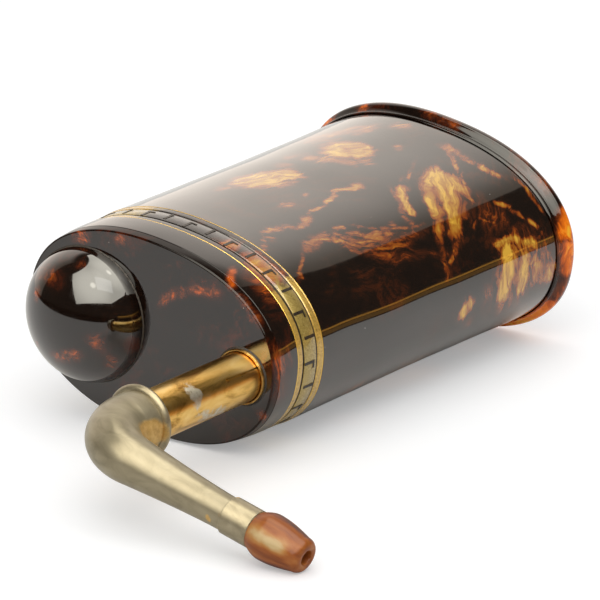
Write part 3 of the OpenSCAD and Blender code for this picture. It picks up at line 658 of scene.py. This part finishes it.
# Colours of metals and their stains
BRASS = [(0.34, (0.36, 0.18, 0.03)), (0.50, (0.82, 0.51, 0.14)), (0.72, (0.96, 0.69, 0.28))]
OLD_BRASS = [(0.3, (0.24, 0.13, 0.035)), (0.5, (0.48, 0.29, 0.09)), (0.7, (0.62, 0.40, 0.14))]
NICKEL = [(0.28, (0.215, 0.180, 0.108)), (0.50, (0.290, 0.246, 0.156)), (0.75, (0.345, 0.297, 0.198))]
BRIGHT_NICKEL = [(0.28, (0.23, 0.192, 0.120)), (0.50, (0.31, 0.264, 0.172)), (0.75, (0.40, 0.342, 0.230))]
BROWN = [(0.3, (0.08, 0.035, 0.010)), (0.55, (0.30, 0.14, 0.03)), (0.75, (0.52, 0.28, 0.07))]
# The golden stain colour: brass at the ferrule's ends, and inside the elbow's bend partly brass and partly a
# painted reflection of the brass tube.
GOLDEN = [(0.3, (0.42, 0.25, 0.07)), (0.5, (0.56, 0.35, 0.11)), (0.7, (0.66, 0.44, 0.16))]
# The tube's silver: a worn silvery patch, and on the lower side a painted reflection of the table.
SILVER = [(0.3, (0.16, 0.11, 0.06)), (0.42, (0.55, 0.50, 0.40)), (0.75, (0.80, 0.76, 0.66))]
# Colours of the gilt strip and wires
OLIVE = [(0.32, (0.19, 0.125, 0.028)), (0.48, (0.37, 0.26, 0.06)), (0.70, (0.50, 0.38, 0.12))]
GOLD = [(0.32, (0.24, 0.12, 0.02)), (0.46, (0.52, 0.32, 0.06)), (0.70, (0.72, 0.47, 0.11))]
# Stains and painted light are strokes too, those of elbow, ferrule and horn in the limb's frame
TUBE_STAINS_AND_REFLECTION = [
    (0.8, (36.5, -30, 7, 1.9), (39, -31.5, 5, 1.9), (40.5, -29, 2, 1.9)),
    # Painted reflection: this pale silver stroke along the tube's lower side stands in for the bright table
    # mirrored there.
    (0.62, (40.8, -31, -1, 1.6), (41, -22, -2.5, 1.6), (40, -15, -4, 1.6)),
    (0.4, (37, -42, -6.5, 1.2), (40, -36, -4, 1.2)),
]
COLLAR_STAINS = [
    (0.5, (41, -1, 3, 1.6), (37, -1, 7.5, 1.6), (30, -1, 7, 1.6)),
    (0.6, (30, -1, -7, 1.6), (38, -1, -7, 1.6)),
]
ELBOW_STAINS_AND_REFLECTION = [
    # Partly brass showing through the nickel, partly painted reflection: a golden patch inside the bend next
    # to the bead, standing in for the brass tube mirrored there.
    (0.95, (9, -50, 3.5, 2.8), (9.5, -54, 0.5, 2.8), (8, -58, 2, 2.8), (10, -60, 3, 2.8)),
    (0.85, (9, -50, -4, 2.2), (8.5, -56, -3, 2.2)),
    (1, (44.3, -73, -1.5, 0.9), (44.8, -73, -1.2, 0.9)),
    (0.7, (47.6, -72.5, 2, 0.7), (47.6, -71, -4, 0.7)),
    (0.6, (47.6, -63, 3, 0.7), (47.6, -66, 5, 0.7)),
]
FERRULE_STAINS = [
    (0.8, (48.2, -73, 2, 0.5), (48.2, -71, -4.5, 0.5)),
    (0.7, (48.2, -64, 4.5, 0.5), (48.2, -68, 5.6, 0.5)),
    (0.8, (57.6, -73, 1, 0.5), (57.6, -68, 5.5, 0.5)),
]
HORN_CREAM_AND_HIGHLIGHT = [
    # Partly the horn's own pale grain, partly a painted highlight: a long cream streak along the upper front
    # of the tip.
    (1, (59, -73, 2.5, 1.3), (66, -74, 2.8, 1.3), (71, -73, 2.5, 1.3)),
    (0.5, (60, -63, 4.5, 1), (68, -63, 4.5, 1)),
]
HORN_DARK = [
    (1, (59, -66, 6.4, 0.8), (68, -66, 6.2, 0.8), (74, -66, 5, 0.8)),
    # Painted shade: a darker stroke along the tip's underside.
    (0.7, (58, -70, -6, 1.6), (70, -71, -5.5, 1.6)),
]

shell_look = tortoiseshell("shell_tortoiseshell", SHELL_FLAMES, TORTOISESHELL)
cap_look = tortoiseshell(
    "cap_tortoiseshell", CAP_FLAMES, RED_SHELL, 0.6, coat_ior=1.6, under=0.2, worn=True)
dome_look = tortoiseshell("dome_tortoiseshell", DOME_FLAMES, RED_SHELL, 0.6)
rim_look = tortoiseshell("rim_tortoiseshell", RIM_FLAMES_AND_GLOW, RED_SHELL, 0.5, coat=0.5, under=0.22)
strip_look = gilt_material("gilt_strip", CAP_FLAMES, 9.0, OLIVE)
wire_look = gilt_material("gold_wire", CAP_FLAMES, 5.55, GOLD)
tube_look = metal("tube_brass", BRASS, 0.29, BODY, TUBE_STAINS_AND_REFLECTION, SILVER, (1, 0.25, 1))
brass_look = metal("old_brass", OLD_BRASS, 0.34, BODY, TUBE_STAINS_AND_REFLECTION, BROWN)
collar_look = metal("collar_brass", OLD_BRASS, 0.3, BODY, COLLAR_STAINS, BROWN)
elbow_look = metal("elbow_nickel", NICKEL, 0.33, LIMB, ELBOW_STAINS_AND_REFLECTION, GOLDEN, (0.5, 1, 1), 0.2, 0.4)
bead_look = metal("bead_nickel", BRIGHT_NICKEL, 0.34, LIMB, ELBOW_STAINS_AND_REFLECTION, GOLDEN, (1, 1, 1), 0.4, 0.6)
ferrule_look = metal(
    "ferrule_nickel", BRIGHT_NICKEL, 0.34, LIMB, FERRULE_STAINS, GOLDEN, (0.5, 1, 1), 0.4, 0.6)
horn_look = horn_material()
ground_look = matt_material("band_ground", (0.022, 0.014, 0.008), 0.35)
grime_look = matt_material("grime", (0.020, 0.014, 0.009), 0.6)
leather_look = matt_material("leather", (0.16, 0.09, 0.045), 0.8)


# Pieces

def wavy(ring, strength):
    """A hand-made surface's gentle waves, as small moves outwards."""
    waves = np.array([noise.noise(Vector(point) * WAVE_SCALE) for point in ring])
    reach = np.hypot(ring[:, 0], ring[:, 2])
    factors = 1 + strength * waves / reach
    return ring * np.stack([factors, np.ones(len(ring)), factors], axis=1)


def build_shell():
    """The body's outside from the band to the rim, and its inside."""
    stations = np.linspace(BAND_END, RIM_START, 61)
    rings = [oval_ring(-WALL, BAND_MIDDLE), oval_ring(GROOVE, BAND_MIDDLE)]
    rings += [oval_ring(outset, BAND_END - OVERLAP) for outset in (GROOVE, -BEVEL)]
    for y in stations:
        fade = min(1, (y - BAND_END) / 8, (RIM_START - y) / 8)
        rings.append(wavy(oval_ring(0, y), SHELL_WAVE * fade))
    rings += [oval_ring(0, SHELL_END), oval_ring(-WALL, SHELL_END)]
    rings += [oval_ring(-WALL, y) for y in stations[::-6]]
    ring_piece("shell", rings, BODY, "case", shell_look, ["body_shell"])


def build_rim():
    """The mouth's moulded lip: a bead, a cove and a rounded flange."""
    flange = (BODY_LENGTH - RIM_START) * 0.48
    profile = [
        (0, RIM_START), (RIM_BEAD, RIM_START + 0.5), (RIM_BEAD, RIM_START + 1.2),
        (RIM_BEAD * 0.4, RIM_START + 1.9), (RIM_BEAD, RIM_START + 2.6),
        (RIM_PROUD * 0.65, BODY_LENGTH - flange - 0.6), (RIM_PROUD * 0.92, BODY_LENGTH - flange),
        (RIM_PROUD, RIM_TOP), (RIM_PROUD * 0.9, RIM_TOP + flange * 0.38),
        (RIM_PROUD * 0.55, BODY_LENGTH - 0.25), (RIM_PROUD * 0.2, BODY_LENGTH),
        (-WALL + 0.5, BODY_LENGTH), (-WALL, BODY_LENGTH - 0.5), (-WALL, SHELL_END), (0, SHELL_END)]
    rings = [oval_ring(outset, y) for outset, y in rounded_corners(profile, 2)]
    ring_piece("rim", rings, BODY, "case", rim_look, ["mouth_rim"], sharp=60)


def build_cap():
    """The side wall between the end plate and the band."""
    stations = np.linspace(PLATE_THICKNESS + BEVEL, BAND_START, 13)
    rings = [oval_ring(-WALL, PLATE_THICKNESS), oval_ring(-BEVEL, PLATE_THICKNESS)]
    for y in stations:
        fade = min(1, (BAND_START - y) / 4, (y - stations[0]) / 3)
        rings.append(wavy(oval_ring(0, y), CAP_WAVE * fade))
    rings += [oval_ring(outset, BAND_START + OVERLAP) for outset in (-BEVEL, GROOVE)]
    rings += [oval_ring(GROOVE, BAND_MIDDLE), oval_ring(-WALL, BAND_MIDDLE)]
    rings += [oval_ring(-WALL, y) for y in stations[-4:0:-4]]
    ring_piece("cap", rings, BODY, "case", cap_look, ["cap_wall"])


def build_plate():
    """The end plate: a rounded edge, and faces with openings for the dome and the sleeve."""
    edge = [(-0.5 + 0.5 * math.sin(a), 0.5 - 0.5 * math.cos(a)) for a in np.linspace(0, math.pi / 2, 7)]
    edge += [(0, PLATE_THICKNESS - BEVEL), (-BEVEL, PLATE_THICKNESS)]
    rings = [oval_ring(outset, y) for outset, y in edge]
    points = np.concatenate(rings)
    faces = ring_faces(len(rings), RING, False)
    holes = [(DOME_X, DOME_Z, DOME_RADIUS - DOME_WALL), (TUBE_X, 0, SLEEVE_RADIUS + SEAT_GAP)]
    starts = []
    for x, z, radius in holes:
        starts.append(len(points))
        for y in (0, PLATE_THICKNESS):
            points = np.concatenate([points, circle(x, z, radius, y)])
        faces += [tuple(starts[-1] + i for i in face) for face in ring_faces(2, ROUND, False)]
    for side, first in ((0, 0), (1, (len(rings) - 1) * RING)):
        loops = [list(range(first, first + RING))]
        loops += [list(range(start + side * ROUND, start + (side + 1) * ROUND)) for start in starts]
        order = [i for loop in loops for i in loop]
        flat = [[Vector((points[i][0], points[i][2], 0)) for i in loop] for loop in loops]
        faces += [tuple(order[i] for i in triangle) for triangle in geometry.tessellate_polygon(flat)]
    make_piece("plate", points, faces, BODY, "case", cap_look, ["end_plate"], 30)


def build_dome():
    """The hollow dome, and the dark seam round its foot."""
    steps = np.linspace(0, math.pi / 2, 49)[:-1]
    inner = DOME_RADIUS - 2 * DOME_WALL
    outside = [(DOME_RADIUS * math.cos(a), -DOME_HEIGHT * math.sin(a)) for a in steps]
    inside = [(inner * math.cos(a), -(DOME_HEIGHT - DOME_WALL) * math.sin(a)) for a in steps[::-1]]
    seat = DOME_RADIUS - DOME_WALL - SEAT_GAP
    foot = [(inner, PLATE_THICKNESS), (seat, PLATE_THICKNESS), (seat, -0.01)]
    crown = [(0.01, -DOME_HEIGHT), (0.01, DOME_WALL - DOME_HEIGHT)]
    place = BODY @ Matrix.Translation(Vector((DOME_X, 0, DOME_Z)) * MM)
    rings = lathe_rings(foot + outside + crown + inside, DOME_ROUND)
    ring_piece("dome_shell", rings, place, "case", dome_look, ["dome"])
    seam = [(DOME_RADIUS - 0.4, -0.01), (DOME_RADIUS - 0.3, -0.55), (DOME_RADIUS + 0.12, -0.3),
            (DOME_RADIUS + 0.5, -0.01)]
    rings = lathe_rings(rounded_corners(seam, 2), DOME_ROUND)
    ring_piece("dome_seam", rings, place, "case", grime_look, [])


def build_band():
    """The gilt faces of the band's strip and of its two wires."""
    low, high = BAND_MIDDLE - STRIP_HALF, BAND_MIDDLE + STRIP_HALF
    profile = [(INLAY, low), (STRIP_TOP - 0.06, low), (STRIP_TOP, low + 0.12),
               (STRIP_TOP, high - 0.12), (STRIP_TOP - 0.06, high), (INLAY, high)]
    rings = [oval_ring(outset, y) for outset, y in profile]
    ring_piece("strip", rings, BODY, "case", strip_look, ["band_strip"])
    wire = [(INLAY, 0), (-0.08, 0.04), (0, 0.14), (0, 0.36), (-0.09, 0.52), (-0.06, 1.3),
            (-0.09, WIRE_WIDTH - 0.6), (-0.14, WIRE_WIDTH - 0.25), (INLAY, WIRE_WIDTH)]
    for name, start, way in (("band_wire_near", BAND_START, 1), ("band_wire_far", BAND_END, -1)):
        rings = [oval_ring(outset, start + way * across) for outset, across in wire]
        ring_piece(name + "_gilt", rings, BODY, "case", wire_look, [name], sharp=25)


def build_collar():
    """The sleeve's lip with its rolled edge, and the ring of old polish round it."""
    bore, outer, lip = TUBE_RADIUS + 0.05, SLEEVE_RADIUS, SLEEVE_RADIUS + 0.4
    profile = [(bore, SLEEVE_END), (bore, -0.3), (bore + 0.06, -0.8), (bore + 0.3, -1.15),
               (bore + 0.55, -1.2), (lip - 0.12, -1.12), (lip, -0.85), (lip, 0), (outer, 0),
               (outer, SLEEVE_END)]
    place = BODY @ Matrix.Translation((TUBE_X * MM, 0, 0))
    rings = lathe_rings(profile)
    ring_piece("sleeve", rings, place, "case", collar_look, ["guide_sleeve"])
    grime = [(lip + 0.005, -0.01), (lip + 0.01, -0.3), (lip + 0.2, -0.2), (lip + 0.55, -0.01)]
    ring_piece("collar_grime", lathe_rings(grime), place, "case", grime_look, [])


def build_elbow():
    """The bent, tapering tube. A station is x, y, the turn, and the way along the middle line."""
    bend_way = BEND_RADIUS * math.pi / 2
    whole_way = bend_way + LIMB_LENGTH - BEND_RADIUS
    stations = [(0, -TUBE_SHOWN, 0, 0)]
    for a in np.linspace(0, math.pi / 2, 41):
        x = BEND_RADIUS * (1 - math.cos(a))
        y = -(TUBE_SHOWN + SOCKET_LENGTH) - BEND_RADIUS * math.sin(a)
        stations.append((x, y, a, BEND_RADIUS * a))
    for x in np.linspace(BEND_RADIUS, LIMB_LENGTH, 31)[1:]:
        stations.append((x, LIMB_Y, math.pi / 2, bend_way + x - BEND_RADIUS))
    turns = np.arange(ROUND) * 2 * math.pi / ROUND

    def ring(station, inset):
        x, y, a, way = station
        radius = blend(ELBOW_END_RADIUS, SOCKET_RADIUS, (1 - way / whole_way) ** TAPER_POWER) - inset
        across = radius * np.cos(turns)
        x, y = x + across * math.cos(a), y + across * math.sin(a)
        return np.stack([x, y, radius * np.sin(turns)], axis=1)

    rings = [ring(station, 0) for station in stations]
    rings += [ring(station, ELBOW_WALL) for station in stations[::-3]]
    ring_piece("elbow_bend", rings, LIMB, "elbow", elbow_look, ["elbow"])


def build_bead():
    """The rolled ring on the elbow's socket."""
    arch = [(SOCKET_RADIUS + BEAD_PROUD * math.sin(a), -TUBE_SHOWN - BEAD_WIDTH / 2 * (1 - math.cos(a)))
            for a in np.linspace(0, math.pi, 21)]
    place = BODY @ Matrix.Translation((TUBE_X * MM, 0, 0))
    ring_piece("bead", lathe_rings(arch), place, "elbow", bead_look, ["elbow_bead"])


def build_tip():
    """The turned ear tip, with its bore and the shank that sits in the ferrule."""
    start, end = FERRULE_END, FERRULE_END + TIP_LENGTH
    profile = []
    for t in np.linspace(0, 1, 17):
        radius = blend(TIP_START_RADIUS, TIP_RADIUS, math.sin(math.pi / 2 * t))
        profile.append((radius, start + TIP_LENGTH * TIP_SWELL * t))
    for t in np.linspace(0, 1, 25)[1:]:
        radius = blend(TIP_RADIUS, TIP_END_RADIUS, 1 - math.cos(math.pi / 2 * t))
        profile.append((radius, start + TIP_LENGTH * blend(TIP_SWELL, TIP_ROUNDING, t)))
    for a in np.linspace(0, math.pi / 2, 13)[1:]:
        radius = blend(TIP_BORE + 1.3, TIP_END_RADIUS, math.cos(a))
        profile.append((radius, start + TIP_LENGTH * blend(TIP_ROUNDING, 1, math.sin(a))))
    profile += [(TIP_BORE + 0.7, end), (TIP_BORE + 0.3, end - 0.25), (TIP_BORE, end - 1.2),
                (TIP_BORE, SHANK_START), (SHANK_RADIUS, SHANK_START), (SHANK_RADIUS, start)]
    place = LIMB @ Matrix.Translation((0, LIMB_Y * MM, 0)) @ Matrix.Rotation(-math.pi / 2, 4, "Z")
    ring_piece("tip", lathe_rings(profile), place, "nozzle", horn_look, ["ear_tip"])


def dress_nodes():
    """Gives the CAD nodes that show as they are their finish, and smooths their round sides."""
    looks = {
        "joint_ring": cap_look, "band_ground": ground_look, "band_ticks": ground_look,
        "sleeve_washer": leather_look, "lock_ring": brass_look, "slide_tube": tube_look,
        "tube_lip": brass_look, "elbow_bush": brass_look, "spigot": brass_look, "ferrule": ferrule_look,
    }
    for name, look in looks.items():
        mesh = frame["nodes"][name].data
        mesh.materials.clear()
        mesh.materials.append(look)
        smooth(mesh, 35)


# Camera, lights and floor

CAMERA_AZIMUTH, CAMERA_ELEVATION = 36.327, 17.470
CAMERA_LENS = 400.14
CAMERA_TARGET = (-0.00181, 0.00054, 0.03778)
CAMERA_DISTANCE = 1.9509

# The lamp, as azimuth, elevation, distance and size, and the brightness of its face
KEY_PLACE, KEY_SIZE, KEY_RADIANCE = (36, 50, 3.0), (1.6, 1.2), 1.5

# The table: its colour as the object sees it and as the camera does, and where its mirror image ends
FLOOR_REACH = 6.0
WHITE = (1.0, 1.0, 1.0)
FLOOR_COLOUR, FLOOR_WHITE, FLOOR_GLOW = (0.82, 0.80, 0.76), (0.78, 0.78, 0.78), 0.30
TABLE_EDGE = 0.30
WOOD, DARK_WOOD, FAR_WOOD = (0.50, 0.27, 0.08), (0.02, 0.015, 0.012), (0.03, 0.02, 0.015)
FADE = (0.25, 0.8)  # metres from the middle over which the camera's floor turns white

# The studio in mirror images, as azimuth and elevation in degrees, or as sines of elevation
BACKDROP_AZIMUTH, BACKDROP_HALF_ANGLE, BACKDROP_TOP = -130.5, 61.5, (0.74, 0.86)
BACKDROP, BACKDROP_EDGE = (1.32, 1.20, 1.08), (0.45, 0.38, 0.31)
DARK_ROOM = (0.06, 0.05, 0.04)
RAIL_AZIMUTH, RAIL_FOOT, RAIL_TOP, RAIL = 125, (0.016, 0.020), (0.044, 0.048), (1.7, 0.80, 0.13)
WINDOW = [(-13.4, 8.6), (45, 20.4), (90, 32), (114, 40), (144, 52.5), (-135, 59), (-35, 39.7)]
WINDOW_LIGHT, WINDOW_TINT = 4.2, (1.0, 0.96, 0.84)
WINDOW_CUT, CUT_COSINE = (-77.5, 47.3), (0.877, 0.887)  # a round bite out of the window
BULBS = [(9, 42), (95, 72)]
# The same studio as even, colourless light on all that isn't a mirror
EVEN_WINDOW, EVEN_LEAST = (1.3, 1.3, 1.3), 0.4


def direction(azimuth, elevation):
    """Unit vector for an azimuth, measured from the front towards the right, and an elevation."""
    a, e = math.radians(azimuth), math.radians(elevation)
    return Vector((math.sin(a) * math.cos(e), -math.cos(a) * math.cos(e), math.sin(e)))


def aim(data, target, way, distance):
    """Places a camera or lamp at a distance from a target, turned to look at it."""
    holder = add_object(data.name, data)
    holder.location = Vector(target) + way * distance
    holder.rotation_mode = "QUATERNION"
    holder.rotation_quaternion = (-way).to_track_quat("-Z", "Y")
    return holder


def place_camera():
    camera = bpy.data.cameras.new("camera")
    camera.lens = CAMERA_LENS
    camera.sensor_width = 36
    camera.clip_start, camera.clip_end = 0.1, 50
    scene.camera = aim(camera, CAMERA_TARGET, direction(CAMERA_AZIMUTH, CAMERA_ELEVATION), CAMERA_DISTANCE)


def place_lamp():
    """A soft lamp above the camera."""
    lamp = bpy.data.lights.new("key", "AREA")
    lamp.shape = "RECTANGLE"
    lamp.size, lamp.size_y = KEY_SIZE
    lamp.energy = KEY_RADIANCE * math.pi * KEY_SIZE[0] * KEY_SIZE[1]
    azimuth, elevation, distance = KEY_PLACE
    aim(lamp, (0, 0, 0.03), direction(azimuth, elevation), distance)


def build_floor():
    """A white table. Mirror rays see it end near the object, at a wooden rail, as in the photograph."""
    mesh = bpy.data.meshes.new("floor")
    corners = [(-1, -1, 0), (1, -1, 0), (1, 1, 0), (-1, 1, 0)]
    mesh.from_pydata([Vector(corner) * FLOOR_REACH for corner in corners], [], [(0, 1, 2, 3)])
    floor = add_object("floor", mesh)
    material = bpy.data.materials.new("floor_paper")
    material.use_nodes = True
    tree = material.node_tree
    tree.nodes.remove(tree.nodes["Principled BSDF"])
    path = node(tree, "LightPath")
    camera_ray = path.outputs["Is Camera Ray"]
    place = node(tree, "TexCoord").outputs["Object"]
    x, y, _ = parts(tree, place)
    paper = node(tree, "BsdfDiffuse", {"Color": FLOOR_COLOUR}).outputs[0]
    inside = calc(tree, "MINIMUM", calc(tree, "SUBTRACT", TABLE_EDGE, x), calc(tree, "ADD", y, TABLE_EDGE))
    wood = mixed(tree, step(tree, y, -0.05, 0.05), DARK_WOOD, WOOD)
    wood = mixed(tree, step(tree, inside, -0.10, -0.09), wood, FAR_WOOD)
    edge = node(tree, "Emission", {"Color": wood}).outputs[0]
    beyond = step(tree, inside, -0.004, 0.004, 1.0, 0.0)
    beyond = calc(tree, "MULTIPLY", path.outputs["Is Glossy Ray"], beyond)
    seen = node(tree, "MixShader", {0: beyond, 1: paper, 2: edge}).outputs[0]
    pure = node(tree, "BsdfDiffuse", {"Color": FLOOR_WHITE}).outputs[0]
    glow = node(tree, "Emission", {"Color": WHITE, "Strength": FLOOR_GLOW}).outputs[0]
    near = node(tree, "AddShader", {0: pure, 1: glow}).outputs[0]
    seen = node(tree, "MixShader", {0: camera_ray, 1: seen, 2: near}).outputs[0]
    far = step(tree, node(tree, "VectorMath", {0: place}, operation="LENGTH").outputs["Value"], *FADE)
    backdrop = node(tree, "Emission", {"Color": WHITE}).outputs[0]
    fade = calc(tree, "MULTIPLY", camera_ray, far)
    final = node(tree, "MixShader", {0: fade, 1: seen, 2: backdrop})
    tree.links.new(final.outputs[0], tree.nodes["Material Output"].inputs[0])
    floor.data.materials.append(material)


def dot(tree, ray, way):
    return node(tree, "VectorMath", {0: ray, 1: way}, operation="DOT_PRODUCT").outputs["Value"]


def window_shape(tree, ray):
    """One where a ray meets the window, which the planes through its sides cut out."""
    shape = None
    for start, end in zip(WINDOW, WINDOW[1:] + WINDOW[:1]):
        side = direction(*start).cross(direction(*end)).normalized()
        edge = step(tree, dot(tree, ray, side), -0.006, 0.006)
        shape = edge if shape is None else calc(tree, "MULTIPLY", shape, edge)
    return shape


def build_world():
    """A studio: a pale backdrop behind and on the left, a large soft window above, and a dark room."""
    world = bpy.data.worlds.new("studio")
    scene.world = world
    world.use_nodes = True
    tree = world.node_tree
    path = node(tree, "LightPath")
    glossy = path.outputs["Is Glossy Ray"]
    ray = node(tree, "TexCoord").outputs["Generated"]
    height = parts(tree, ray)["Z"]
    flat = node(tree, "VectorMath", {0: times(tree, ray, (1, 1, 0))}, operation="NORMALIZE").outputs[0]
    turn = dot(tree, flat, direction(BACKDROP_AZIMUTH, 0))
    limit = math.cos(math.radians(BACKDROP_HALF_ANGLE))
    pale = step(tree, turn, limit - 0.006, limit + 0.006)
    pale = calc(tree, "MULTIPLY", pale, step(tree, height, *BACKDROP_TOP, 1.0, 0.0))
    sheet = mixed(tree, step(tree, turn, limit, 0.92), BACKDROP_EDGE, BACKDROP)
    right = step(tree, dot(tree, flat, direction(RAIL_AZIMUTH, 0)), 0.3, 0.4)
    low = calc(tree, "MULTIPLY", right, step(tree, height, 0.005, 0.008, 1.0, 0.0))
    rail = calc(tree, "MULTIPLY", step(tree, height, *RAIL_FOOT), step(tree, height, *RAIL_TOP, 1.0, 0.0))
    rail = calc(tree, "MULTIPLY", right, rail)
    room = mixed(tree, rail, mixed(tree, low, DARK_ROOM, WOOD), RAIL)
    studio = mixed(tree, pale, room, sheet)
    window = window_shape(tree, ray)
    uncut = step(tree, dot(tree, ray, direction(*WINDOW_CUT)), *CUT_COSINE, 1.0, 0.0)
    light = WINDOW_LIGHT
    for bulb in BULBS:
        near = dot(tree, ray, direction(*bulb))
        light = calc(tree, "ADD", light, step(tree, near, 0.80, 1.0, 0.0, 2.2))
        light = calc(tree, "ADD", light, step(tree, near, 0.995, 0.9995, 0.0, 4.0))
    tint = node(tree, "VectorMath", {0: WINDOW_TINT, "Scale": light}, operation="SCALE").outputs[0]
    mirrored = mixed(tree, calc(tree, "MULTIPLY", window, uncut), studio, tint)
    plain = node(tree, "RGBToBW", {0: mixed(tree, window, studio, EVEN_WINDOW)}).outputs[0]
    plain = calc(tree, "MAXIMUM", plain, EVEN_LEAST)
    even = node(tree, "Background", {"Color": plain}).outputs[0]
    mirrored = node(tree, "Background", {"Color": mirrored}).outputs[0]
    seen = node(tree, "MixShader", {0: glossy, 1: even, 2: mirrored}).outputs[0]
    white = node(tree, "Background", {"Color": WHITE}).outputs[0]
    final = node(tree, "MixShader", {0: path.outputs["Is Camera Ray"], 1: seen, 2: white})
    tree.links.new(final.outputs[0], tree.nodes["World Output"].inputs[0])


build_shell()
build_rim()
build_cap()
build_plate()
build_dome()
build_band()
build_collar()
build_elbow()
build_bead()
build_tip()
dress_nodes()
place_camera()
place_lamp()
build_floor()
build_world()
scene.view_settings.view_transform = "Standard"
